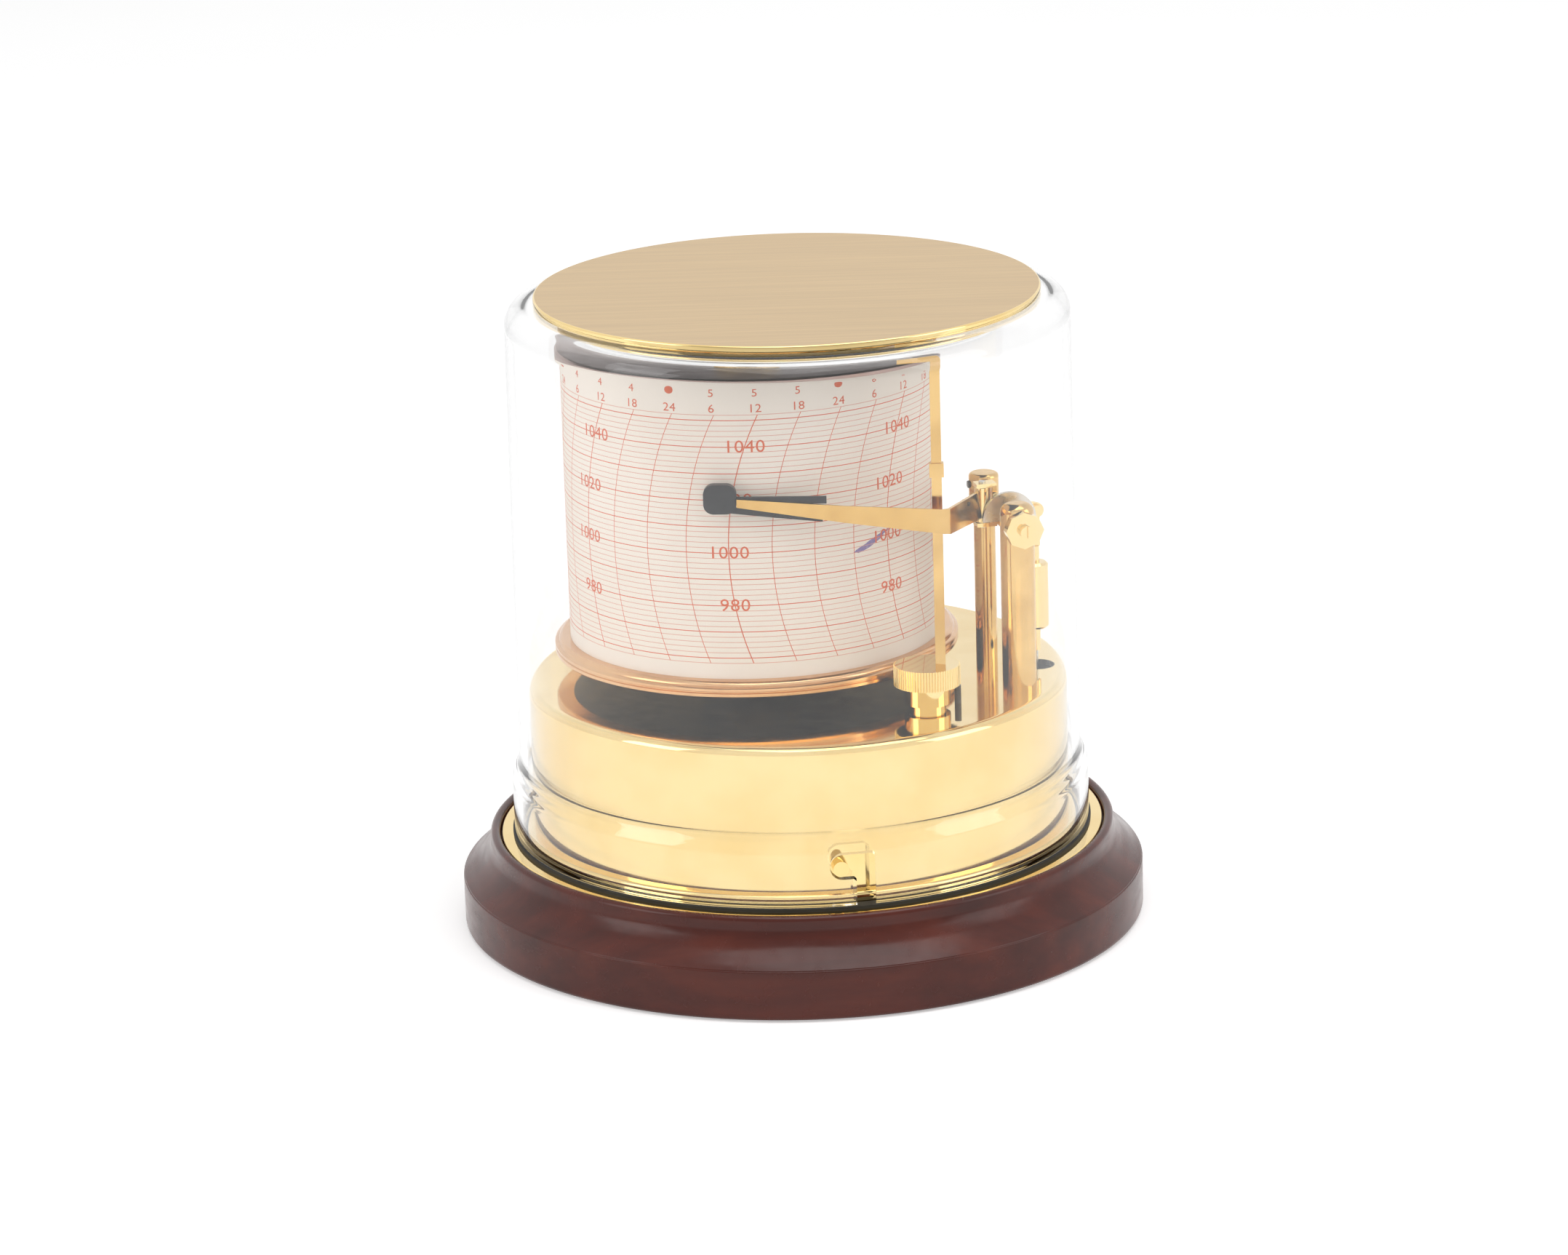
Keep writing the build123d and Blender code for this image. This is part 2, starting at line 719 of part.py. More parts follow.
# Pivot posts, with shanks and nuts through the can's top
post_foot_z = can_roof_z - post_nut_height - screw_proud
with BuildPart() as front_post:
    with BuildSketch(level(front_post_x, front_post_y, post_foot_z)):
        Circle(post_shank_radius)
    extrude(amount=can_top_z - post_foot_z)
    with BuildSketch(level(front_post_x, front_post_y, can_top_z)):
        Circle(front_post_radius)
    extrude(amount=front_post_top_z - can_top_z)
    fillet(front_post.edges().group_by(Axis.Z)[-1], front_post_round)
    with BuildSketch(across_pivot(-front_post_radius)):
        Circle(pivot_screw_radius + screw_clearance)
    extrude(amount=2 * front_post_radius, mode=Mode.SUBTRACT)
finish(front_post, "front_post")

with BuildPart() as rear_post:
    with BuildSketch(level(rear_post_x, rear_post_y, post_foot_z)):
        Circle(post_shank_radius)
    extrude(amount=can_top_z - post_foot_z)
    with BuildSketch(level(rear_post_x, rear_post_y, can_top_z)):
        Circle(rear_post_radius)
    extrude(amount=rear_cap_top_z - cap_roof - seat_gap - can_top_z)
    with BuildSketch(across_pivot(pivot_run - rear_cap_radius)):
        Circle(pivot_screw_radius + screw_clearance)
    extrude(amount=2 * rear_cap_radius, mode=Mode.SUBTRACT)
finish(rear_post, "rear_post")

grub_start = rear_post_radius + seat_gap
grub_plane = Plane(origin=(rear_post_x + pen_side_x * grub_start, rear_post_y + pen_side_y * grub_start,
                           grub_z), z_dir=(pen_side_x, pen_side_y, 0))
with BuildPart() as rear_post_cap:
    with BuildSketch(level(rear_post_x, rear_post_y, rear_cap_bottom_z)):
        Circle(rear_cap_radius)
    extrude(amount=rear_cap_top_z - rear_cap_bottom_z)
    fillet(rear_post_cap.edges().group_by(Axis.Z)[-1], cap_round)
    with BuildSketch(level(rear_post_x, rear_post_y, rear_cap_bottom_z)):
        Circle(rear_post_radius + fixed_fit)
    extrude(amount=rear_cap_top_z - cap_roof - rear_cap_bottom_z, mode=Mode.SUBTRACT)
    with BuildSketch(across_pivot(pivot_run - rear_cap_radius)):
        Circle(pivot_screw_radius + screw_clearance)
    extrude(amount=2 * rear_cap_radius, mode=Mode.SUBTRACT)
    with BuildSketch(grub_plane):
        Circle(grub_radius + screw_clearance)
    extrude(amount=rear_cap_radius, mode=Mode.SUBTRACT)
finish(rear_post_cap, "rear_post_cap")

with BuildPart() as rear_grub_screw:
    with BuildSketch(grub_plane):
        Circle(grub_radius)
    extrude(amount=rear_cap_radius - grub_start + grub_proud)
finish(rear_grub_screw, "rear_grub_screw")

with BuildPart() as post_nuts:
    with BuildSketch(Plane.XY.offset(can_roof_z - post_nut_height)):
        with Locations((front_post_x, front_post_y), (rear_post_x, rear_post_y)):
            RegularPolygon(post_nut_radius, 6)
            Circle(post_shank_radius + fixed_fit, mode=Mode.SUBTRACT)
    extrude(amount=post_nut_height)
finish(post_nuts, "post_nuts")

# Pivot screws: their slim tips turn in the ends of the arm spindle
spindle_end = pivot_run - rear_cap_radius - 2 * running_gap
front_screw_start = -front_post_radius - lock_nut_height - screw_proud
front_screw_end = spindle_start - running_gap
rear_screw_start = spindle_end + running_gap
rear_screw_end = pivot_run + rear_cap_radius + screw_proud
with BuildPart() as front_pivot_screw:
    with BuildSketch(across_pivot(front_screw_start)):
        Circle(pivot_screw_radius)
        Rectangle(driver_slot_width, 2 * pivot_screw_radius, mode=Mode.SUBTRACT)
    extrude(amount=driver_slot_depth)
    with BuildSketch(across_pivot(front_screw_start + driver_slot_depth)):
        Circle(pivot_screw_radius)
    extrude(amount=front_screw_end - front_screw_start - driver_slot_depth)
    with BuildSketch(across_pivot(front_screw_end)):
        Circle(pivot_tip_radius)
    extrude(amount=running_gap + pivot_tip_length)
finish(front_pivot_screw, "front_pivot_screw")

with BuildPart() as front_lock_nut:
    with BuildSketch(across_pivot(-front_post_radius - lock_nut_height)):
        RegularPolygon(lock_nut_size / 2, 8, major_radius=False)
        Circle(pivot_screw_radius + fixed_fit, mode=Mode.SUBTRACT)
    extrude(amount=lock_nut_height)
finish(front_lock_nut, "front_lock_nut")

with BuildPart() as rear_pivot_screw:
    with BuildSketch(across_pivot(rear_screw_start)):
        Circle(pivot_screw_radius)
    extrude(amount=rear_screw_end - rear_screw_start - driver_slot_depth)
    with BuildSketch(across_pivot(rear_screw_end - driver_slot_depth)):
        Circle(pivot_screw_radius)
        Rectangle(driver_slot_width, 2 * pivot_screw_radius, mode=Mode.SUBTRACT)
    extrude(amount=driver_slot_depth)
    with BuildSketch(across_pivot(rear_screw_start - running_gap - pivot_tip_length)):
        Circle(pivot_tip_radius)
    extrude(amount=running_gap + pivot_tip_length)
finish(rear_pivot_screw, "rear_pivot_screw")

# Arm spindle and what is fixed on it
with BuildPart() as arm_spindle:
    with BuildSketch(across_pivot(spindle_start)):
        Circle(spindle_rod_radius)
    extrude(amount=spindle_end - spindle_start)
    tip_hole = pivot_tip_length + running_gap
    for start in (spindle_start, spindle_end - tip_hole):
        with BuildSketch(across_pivot(start)):
            Circle(pivot_tip_radius + shaft_clearance)
        extrude(amount=tip_hole, mode=Mode.SUBTRACT)
finish(arm_spindle, "arm_spindle")

with BuildPart() as counterweight_disc:
    with BuildSketch(across_pivot(quadrant_at)):
        Circle(quadrant_radius)
        with Locations((0, -quadrant_radius / 2 - quadrant_chin)):
            Rectangle(2 * quadrant_radius, quadrant_radius, mode=Mode.SUBTRACT)
        Circle(spindle_rod_radius + fixed_fit, mode=Mode.SUBTRACT)
    extrude(amount=quadrant_thickness)
finish(counterweight_disc, "counterweight_disc")

crank_at = link_at - strip_thickness / 2 - running_gap - crank_thickness
with BuildPart() as crank_lever:
    with BuildSketch(across_pivot(crank_at)):
        Circle(crank_hub_radius)
        with Locations((-crank_reach, -crank_drop)):
            Circle(crank_end_radius)
        make_hull()
        Circle(spindle_rod_radius + fixed_fit, mode=Mode.SUBTRACT)
        with Locations((-crank_reach, -crank_drop)):
            Circle(link_pin_radius + fixed_fit, mode=Mode.SUBTRACT)
    extrude(amount=crank_thickness)
finish(crank_lever, "crank_lever")

# Gate: an upright pin in a bracket on the spindle, so that the pen swings off the paper
gate_x = front_post_x + along_x * gate_at + pen_side_x * gate_reach
gate_y = front_post_y + along_y * gate_at + pen_side_y * gate_reach
bracket_low = barrel_bottom_z - seat_gap - gate_arm_thickness - pivot_z
bracket_high = barrel_top_z + seat_gap + gate_arm_thickness - pivot_z
bracket_plate_end = gate_reach - barrel_radius - running_gap
bracket_far = gate_reach + barrel_radius
with BuildPart() as gate_bracket:
    with BuildSketch(across_pivot(gate_at - gate_block_length / 2)):
        with BuildLine():
            Polyline((bracket_plate_end - gate_arm_thickness, bracket_low), (bracket_far, bracket_low),
                     (bracket_far, bracket_low + gate_arm_thickness),
                     (bracket_plate_end, bracket_low + gate_arm_thickness),
                     (bracket_plate_end, bracket_high - gate_arm_thickness),
                     (bracket_far, bracket_high - gate_arm_thickness), (bracket_far, bracket_high),
                     (bracket_plate_end - gate_arm_thickness, bracket_high), close=True)
        make_face()
        Circle(crank_hub_radius)
        Circle(spindle_rod_radius + fixed_fit, mode=Mode.SUBTRACT)
    extrude(amount=gate_block_length)
    with BuildSketch(level(gate_x, gate_y, pivot_z + bracket_low)):
        Circle(gate_pin_radius + fixed_fit)
    extrude(amount=bracket_high - bracket_low, mode=Mode.SUBTRACT)
finish(gate_bracket, "gate_bracket")

with BuildPart() as gate_pin:
    with BuildSketch(level(gate_x, gate_y, pivot_z + bracket_low - gate_pin_proud)):
        Circle(gate_pin_radius)
    extrude(amount=bracket_high - bracket_low + 2 * gate_pin_proud)
finish(gate_pin, "gate_pin")

with BuildPart() as gate_barrel:
    with BuildSketch(level(gate_x, gate_y, barrel_bottom_z)):
        Circle(barrel_radius)
        Circle(gate_pin_radius + shaft_clearance, mode=Mode.SUBTRACT)
    extrude(amount=barrel_top_z - barrel_bottom_z)
finish(gate_barrel, "gate_barrel")

# Pen arm: a thin strip bent in plan, trimmed to its tapering height
root_run = math.hypot(bend_x - gate_x, bend_y - gate_y)
root_dir_x = (bend_x - gate_x) / root_run
root_dir_y = (bend_y - gate_y) / root_run
root_start = barrel_radius + fixed_fit
root_x = gate_x + root_dir_x * root_start
root_y = gate_y + root_dir_y * root_start
gate_screw_run = (gate_screw_y - gate_y) / root_dir_y
gate_screw_x = gate_x + root_dir_x * gate_screw_run
gate_screw_plane = Plane(origin=(gate_screw_x, gate_screw_y, gate_screw_z),
                         z_dir=(root_dir_y, -root_dir_x, 0))
with BuildPart() as pen_arm:
    with BuildSketch(Plane.XY.offset(root_bottom_z)):
        with BuildLine():
            FilletPolyline((root_x, root_y), (bend_x, bend_y), (blade_tip_x, blade_tip_y),
                           radius=bend_radius)
        trace(line_width=arm_thickness)
    extrude(amount=tip_top_z - root_bottom_z)
    with BuildSketch(Plane.XZ):
        with BuildLine():
            Polyline((gate_x, root_bottom_z), (bend_x, bend_bottom_z), (blade_x, blade_bottom_z),
                     (blade_tip_x, tip_bottom_z), (blade_tip_x - arm_thickness, tip_bottom_z),
                     (blade_tip_x - arm_thickness, tip_top_z), (blade_tip_x, tip_top_z),
                     (blade_x, blade_top_z), (bend_x, bend_top_z), (gate_x, root_top_z), close=True)
        make_face()
    extrude(amount=wood_radius, mode=Mode.INTERSECT)
    with BuildSketch(gate_screw_plane):
        Circle(gate_screw_radius + fixed_fit)
    extrude(amount=arm_thickness, both=True, mode=Mode.SUBTRACT)
finish(pen_arm, "pen_arm")

with BuildPart() as gate_screw:
    with BuildSketch(gate_screw_plane.offset(arm_thickness / 2)):
        Circle(gate_screw_head_radius)
    extrude(amount=gate_screw_head_height)
    with BuildSketch(gate_screw_plane.offset(-arm_thickness)):
        Circle(gate_screw_radius)
    extrude(amount=1.5 * arm_thickness)
finish(gate_screw, "gate_screw")

# Pen cartridge: a rounded head past the tip of the blade, and two prongs behind the blade
blade_run = math.hypot(bend_x - blade_tip_x, bend_y - blade_tip_y)
blade_dir_x = (bend_x - blade_tip_x) / blade_run
blade_dir_y = (bend_y - blade_tip_y) / blade_run
pen_plane = Plane(origin=(blade_tip_x, blade_tip_y, 0), x_dir=(blade_dir_x, blade_dir_y, 0),
                  z_dir=(blade_dir_y, -blade_dir_x, 0))
head_length = blade_tip_x - pen_left_x
head_height = pen_top_z - pen_bottom_z
with BuildPart() as pen_cartridge:
    with BuildSketch(pen_plane.offset(-pen_thickness / 2)):
        with Locations((-head_length / 2 - fixed_fit, (pen_top_z + pen_bottom_z) / 2)):
            RectangleRounded(head_length, head_height, pen_round)
    extrude(amount=pen_thickness)
    with BuildSketch(pen_plane.offset(-arm_thickness / 2 - fixed_fit - prong_thickness)):
        with BuildLine():
            Polyline((-head_length / 2, prong_upper_top_z), (-head_length / 2, prong_upper_bottom_z),
                     (prong_upper_end_x - blade_tip_x, prong_upper_bottom_z),
                     (prong_upper_end_x - blade_tip_x, prong_upper_top_z), close=True)
        make_face()
        with BuildLine():
            Polyline((-head_length / 2, prong_root_z + prong_height), (-head_length / 2, prong_root_z),
                     (prong_middle_x - blade_tip_x, prong_middle_z),
                     (prong_lower_end_x - blade_tip_x, prong_end_z),
                     (prong_lower_end_x - blade_tip_x, prong_end_z + prong_height),
                     (prong_middle_x - blade_tip_x, prong_middle_z + prong_height), close=True)
        make_face()
    extrude(amount=prong_thickness)
finish(pen_cartridge, "pen_cartridge")

nib_point = pen_plane.offset(-pen_thickness / 2).from_local_coords((-nib_from_tip, nib_z, 0))
with BuildPart() as pen_nib:
    with BuildSketch(Plane(origin=nib_point, z_dir=(-blade_dir_y, blade_dir_x, 0))):
        Circle(nib_radius)
    extrude(amount=nib_length, taper=nib_taper)
finish(pen_nib, "pen_nib")

# Link: pin, strip, adjuster sleeve and the wire down to the lever
with BuildPart() as link_pin:
    with BuildSketch(across_pivot(crank_at - crank_thickness)):
        with Locations((-crank_reach, -crank_drop)):
            Circle(link_pin_head_radius)
    extrude(amount=crank_thickness)
    with BuildSketch(across_pivot(crank_at)):
        with Locations((-crank_reach, -crank_drop)):
            Circle(link_pin_radius)
    extrude(amount=crank_thickness + strip_thickness + 2 * running_gap)
    with BuildSketch(across_pivot(link_at + strip_thickness / 2 + running_gap)):
        with Locations((-crank_reach, -crank_drop)):
            Circle(link_pin_head_radius)
    extrude(amount=crank_thickness)
finish(link_pin, "link_pin")

strip_foot = upper_neck_z - pivot_z
with BuildPart() as link_strip:
    with BuildSketch(across_pivot(link_at - strip_thickness / 2)):
        with Locations((-crank_reach, -crank_drop)):
            Circle(strip_width / 2 + strip_eye_wall)
        with Locations((-crank_reach, (strip_foot - crank_drop) / 2)):
            Rectangle(strip_width, -crank_drop - strip_foot)
        with Locations((-crank_reach, -crank_drop)):
            Circle(link_pin_radius + shaft_clearance, mode=Mode.SUBTRACT)
    extrude(amount=strip_thickness)
finish(link_strip, "link_strip")

with BuildPart() as adjuster_sleeve:
    with BuildSketch(level(link_x, link_y, lower_neck_z)):
        Circle(neck_radius)
    extrude(amount=upper_neck_z - lower_neck_z)
    with BuildSketch(upright(link_x, link_y)):
        with BuildLine():
            Polyline((0, sleeve_bottom_z), (sleeve_radius - sleeve_chamfer, sleeve_bottom_z),
                     (sleeve_radius, sleeve_bottom_z + sleeve_chamfer),
                     (sleeve_radius, sleeve_top_z - sleeve_chamfer),
                     (sleeve_radius - sleeve_chamfer, sleeve_top_z), (0, sleeve_top_z), close=True)
        make_face()
    revolve(axis=axis_at(link_x, link_y))
finish(adjuster_sleeve, "adjuster_sleeve")

upper_collar_z = lever_z + lever_thickness / 2 + lever_play
lower_collar_z = lever_z - lever_thickness / 2 - lever_play - wire_collar_height
with BuildPart() as link_wire:
    with BuildSketch(level(link_x, link_y, wire_bottom_z)):
        Circle(wire_radius)
    extrude(amount=lower_neck_z - wire_bottom_z)
    for collar_z in (upper_collar_z, lower_collar_z):
        with BuildSketch(level(link_x, link_y, collar_z)):
            Circle(wire_collar_radius)
        extrude(amount=wire_collar_height)
finish(link_wire, "link_wire")

# Transfer lever on its shaft, in a bracket that stands on the base plate
lever_side = Plane(origin=(lever_pivot_x, link_y, lever_z), x_dir=(1, 0, 0), z_dir=(0, -1, 0))
with BuildPart() as transfer_lever:
    with BuildSketch(level(lever_pivot_x, link_y, lever_z - lever_thickness / 2)):
        with Locations(((lever_reach + lever_nose) / 2, 0)):
            Rectangle(lever_reach + lever_nose, lever_width)
        with Locations((lever_reach + lever_nose - fork_depth / 2, 0)):
            Rectangle(fork_depth, fork_width, mode=Mode.SUBTRACT)
    extrude(amount=lever_thickness)
    with BuildSketch(lever_side.offset(-lever_hub_width / 2)):
        Circle(lever_hub_radius)
    extrude(amount=lever_hub_width)
    with BuildSketch(lever_side.offset(-lever_hub_width / 2)):
        Circle(lever_shaft_radius + fixed_fit)
    extrude(amount=lever_hub_width, mode=Mode.SUBTRACT)
finish(transfer_lever, "transfer_lever")

cheek_inner = lever_hub_width / 2 + running_gap
cheek_outer = cheek_inner + bracket_cheek
with BuildPart() as lever_shaft:
    with BuildSketch(lever_side.offset(-cheek_outer)):
        Circle(lever_shaft_radius)
    extrude(amount=2 * cheek_outer)
finish(lever_shaft, "lever_shaft")

with BuildPart() as lever_bracket:
    with BuildSketch(level(lever_pivot_x, link_y, boss_top_z)):
        Rectangle(2 * bracket_half_length, 2 * cheek_outer)
    extrude(amount=bracket_top_z - boss_top_z)
    with BuildSketch(level(lever_pivot_x, link_y, boss_top_z + bracket_foot_height)):
        Rectangle(2 * bracket_half_length, 2 * cheek_inner)
    extrude(amount=bracket_top_z - boss_top_z, mode=Mode.SUBTRACT)
    with BuildSketch(lever_side.offset(-cheek_outer)):
        Circle(lever_shaft_radius + shaft_clearance)
    extrude(amount=2 * cheek_outer, mode=Mode.SUBTRACT)
finish(lever_bracket, "lever_bracket")

# Aneroid capsules on their stud, with a head that stands just under the lever
capsule_x = lever_pivot_x + capsule_lever
capsule_step = (capsule_top_z - capsule_bottom_z) / capsule_count
with BuildPart() as capsule_stud:
    with BuildSketch(level(capsule_x, link_y, boss_top_z)):
        Circle(capsule_stud_radius)
    extrude(amount=capsule_bottom_z - boss_top_z)
finish(capsule_stud, "capsule_stud")

with BuildPart() as aneroid_capsules:
    for number in range(capsule_count):
        foot_z = capsule_bottom_z + number * capsule_step
        with BuildSketch(upright(capsule_x, link_y)):
            with BuildLine():
                Polyline((0, foot_z), (capsule_neck_radius, foot_z),
                         (capsule_rim, foot_z + 0.22 * capsule_step),
                         (capsule_radius, foot_z + 0.35 * capsule_step),
                         (capsule_radius, foot_z + 0.65 * capsule_step),
                         (capsule_rim, foot_z + 0.78 * capsule_step),
                         (capsule_neck_radius, foot_z + capsule_step), (0, foot_z + capsule_step),
                         close=True)
            make_face()
        revolve(axis=axis_at(capsule_x, link_y))
finish(aneroid_capsules, "aneroid_capsules")

with BuildPart() as capsule_head:
    with BuildSketch(level(capsule_x, link_y, capsule_top_z)):
        Circle(head_radius)
    extrude(amount=head_flange)
    with BuildSketch(level(capsule_x, link_y, capsule_top_z + head_flange)):
        Circle(head_tip_radius)
    extrude(amount=lever_z - lever_thickness / 2 - running_gap - capsule_top_z - head_flange)
finish(capsule_head, "capsule_head")

# Lifter: bush in the can's top, knurled knob on its shaft, circlip below, and the upright rod
bush_top_z = can_top_z + bush_height
bush_bottom_z = can_roof_z - screw_proud
knob_bottom_z = bush_top_z + seat_gap
disc_bottom_z = knob_bottom_z + knob_collar_height
disc_top_z = disc_bottom_z + knob_height
with BuildPart() as knob_bush:
    with BuildSketch(level(lifter_x, lifter_y, can_top_z)):
        Circle(bush_radius)
    extrude(amount=bush_height)
    with BuildSketch(level(lifter_x, lifter_y, bush_bottom_z)):
        Circle(bush_shank_radius)
    extrude(amount=can_top_z - bush_bottom_z)
    with BuildSketch(level(lifter_x, lifter_y, bush_bottom_z)):
        Circle(knob_shaft_radius + shaft_clearance)
    extrude(amount=bush_top_z - bush_bottom_z, mode=Mode.SUBTRACT)
finish(knob_bush, "knob_bush")

with BuildPart() as lifter_knob:
    with BuildSketch(level(lifter_x, lifter_y, bush_bottom_z - circlip_height - screw_proud)):
        Circle(knob_shaft_radius)
    extrude(amount=knob_bottom_z - bush_bottom_z + circlip_height + screw_proud)
    with BuildSketch(level(lifter_x, lifter_y, knob_bottom_z)):
        Circle(knob_collar_radius)
    extrude(amount=knob_collar_height)
    with BuildSketch(level(lifter_x, lifter_y, disc_bottom_z)):
        Circle(knob_radius)
        with PolarLocations(knob_radius, knob_teeth):
            Circle(knob_tooth_depth, mode=Mode.SUBTRACT)
    extrude(amount=knob_height)
finish(lifter_knob, "lifter_knob")

with BuildPart() as lifter_circlip:
    with BuildSketch(level(lifter_x, lifter_y, bush_bottom_z - seat_gap - circlip_height)):
        Circle(circlip_radius)
        Circle(knob_shaft_radius + fixed_fit, mode=Mode.SUBTRACT)
    extrude(amount=circlip_height)
finish(lifter_circlip, "lifter_circlip")

with BuildPart() as lifter_rod:
    with BuildSketch(upright(lifter_x + rod_offset_x, lifter_y + rod_offset_y).offset(-rod_thickness / 2)):
        with BuildLine():
            Polyline((-rod_width / 2, disc_top_z), (rod_width / 2, disc_top_z),
                     (rod_width / 2, rod_top_z - rod_bend_radius))
            RadiusArc((rod_width / 2, rod_top_z - rod_bend_radius),
                      (rod_width / 2 - rod_bend_radius, rod_top_z), -rod_bend_radius)
            Polyline((rod_width / 2 - rod_bend_radius, rod_top_z), (-rod_bend_reach, rod_top_z),
                     (-rod_bend_reach, rod_top_z - rod_leg_height),
                     (-rod_width / 2, rod_top_z - rod_leg_height), (-rod_width / 2, disc_top_z))
        make_face()
    extrude(amount=rod_thickness)
    with BuildSketch(level(lifter_x + rod_offset_x, lifter_y + rod_offset_y, rod_clip_bottom_z)):
        Rectangle(rod_width + rod_clip_wall, rod_thickness + rod_clip_wall)
    extrude(amount=rod_clip_height)
finish(lifter_rod, "lifter_rod")

with BuildPart() as knob_stop_pin:
    with BuildSketch(level(stop_pin_x, stop_pin_y, can_top_z)):
        Circle(stop_pin_radius)
    extrude(amount=stop_pin_height)
finish(knob_stop_pin, "knob_stop_pin")
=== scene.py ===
import json
import math
import bpy
import bmesh
from mathutils import Matrix, Vector

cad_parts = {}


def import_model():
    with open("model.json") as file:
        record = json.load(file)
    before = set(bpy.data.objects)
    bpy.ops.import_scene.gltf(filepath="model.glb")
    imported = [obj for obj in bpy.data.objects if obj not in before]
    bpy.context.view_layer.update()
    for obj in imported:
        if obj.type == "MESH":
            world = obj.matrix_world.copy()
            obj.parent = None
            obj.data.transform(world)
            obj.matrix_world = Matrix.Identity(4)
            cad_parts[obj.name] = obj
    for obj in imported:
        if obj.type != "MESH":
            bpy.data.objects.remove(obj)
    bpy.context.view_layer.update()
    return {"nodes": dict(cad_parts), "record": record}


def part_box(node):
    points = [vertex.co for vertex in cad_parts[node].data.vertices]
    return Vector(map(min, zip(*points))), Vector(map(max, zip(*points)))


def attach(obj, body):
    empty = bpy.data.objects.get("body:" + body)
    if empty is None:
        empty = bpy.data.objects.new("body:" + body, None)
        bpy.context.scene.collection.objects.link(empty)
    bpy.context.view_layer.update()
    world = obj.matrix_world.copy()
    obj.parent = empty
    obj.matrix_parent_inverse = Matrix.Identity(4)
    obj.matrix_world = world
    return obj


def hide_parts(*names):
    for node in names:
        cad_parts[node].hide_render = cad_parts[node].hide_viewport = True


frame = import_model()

# Barograph: turned wooden base, brass works, chart drum and clear cover

MM = 0.001
SCENE = bpy.context.scene

# Camera, from the photograph's perspective
CAMERA_AT = Vector((0.0, -1.3269, 0.4616))
CAMERA_PITCH = math.radians(16.33)
CAMERA_YAW = math.radians(-0.132)
CAMERA_ROLL = math.radians(-1.709)
CAMERA_LENS = 128.1
SENSOR_WIDTH = 36.0

# Steps round a turned piece. Sizes from here on are in millimetres
ROUND_STEPS = 256

# Wooden base: the cove runs from the side band up to the rim
WOOD_RADIUS = 85.0
WOOD_BOTTOM = 0.4
FOOT_ROUND = 1.2
SIDE_TOP = 12.45
SIDE_ROUND = 0.35
COVE_LINE = ((84.7, 13.0), (83.6, 13.75), (82.4, 14.7), (81.1, 15.75), (80.0, 16.8), (79.1, 17.95),
             (78.3, 19.2), (77.9, 20.4), (77.8, 21.5))
RIM_CENTRE = (76.6, 22.75)
RIM_ROUND = 1.22
RIM_LIP = 23.0
RECESS_BOTTOM = 20.5
RECESS_GAP = 0.3
FELT_RADIUS = 76.0
FELT_HEIGHT = 1.5
FELT_GAP = 0.1

# Base plate and housing can
PLATE_RADIUS = 75.1
PLATE_TOP = 23.2
PLATE_ROUND = 0.5
BOSS_RADIUS = 68.6
BOSS_TOP = 26.4
BOSS_ROUND = 0.8
BOSS_FILLET = 0.4
CAN_RADIUS = 66.8
CAN_WALL = 1.2
CAN_TOP = 62.5
CAN_TOP_WALL = 1.3
CAN_ROUND = 2.0
LINK_HOLE_RADIUS = 4.45

# Clear cover: a skirt, a soft step, a tapered tube and a round shoulder
COVER_FOOT = 24.1
FOOT_CHAMFER = 0.3
SKIRT_RADIUS = 71.8
SKIRT_INSIDE = 69.6
SKIRT_TOP = 36.6
STEP_OUTSIDE = ((71.8, 37.2), (71.6, 38.4), (71.0, 39.9), (70.3, 41.2), (70.0, 42.6))
STEP_INSIDE = ((68.0, 42.0), (68.2, 40.6), (68.9, 39.0), (69.4, 37.8), (69.6, 36.6))
TUBE_FOOT_INSIDE = (68.0, 42.6)
TUBE_TOP = (69.1, 150.8)
COVER_TOP = 157.3
TUBE_WALL = 2.0
SHOULDER_ROUND = 5.0
SHOULDER_RADIUS = 64.1
SHOULDER_INSIDE_ROUND = 4.0
SHOULDER_INSIDE_RADIUS = 63.1
SLOT_COUNT = 3
SLOT_LOW = 30.8
SLOT_HIGH = 37.0
SLOT_END = 6.3
LEG_LEFT = 12.6
LEG_RIGHT = 17.1
LEG_ROUND = 1.2
LEG_CHAMFER = 0.6
SLOT_REACH = (60.0, 76.0)
DISC_RADIUS = 61.9
DISC_HEIGHT = 1.8
DISC_ROUND = 0.45
DISC_CHAMFER = 0.3
DISC_POLISH = 0.5

# Chart drum
DRUM_AXIS = (-10.0, 7.0)
SHELL_RADIUS = 46.1
PAPER_RADIUS = 46.4
PAPER_BOTTOM = 71.9
PAPER_TOP = 146.8
LID_TOP = 148.3
LID_BORE = 4.05
LID_EDGE = ((46.4, 147.8), (46.0, 148.2), (45.6, 148.3))
SPIGOT_INSIDE = 43.7
SPIGOT_RADIUS = 44.88
SPIGOT_DEPTH = 3.0
FLANGE_LINE = ((46.1, 68.1), (49.9, 68.1), (50.3, 68.5), (50.3, 69.2), (50.0, 69.4), (50.0, 69.6),
               (50.3, 69.8), (50.3, 70.4), (49.9, 70.7), (49.4, 70.9), (49.3, 71.2), (48.9, 71.6),
               (48.4, 71.9), (46.42, 71.9))

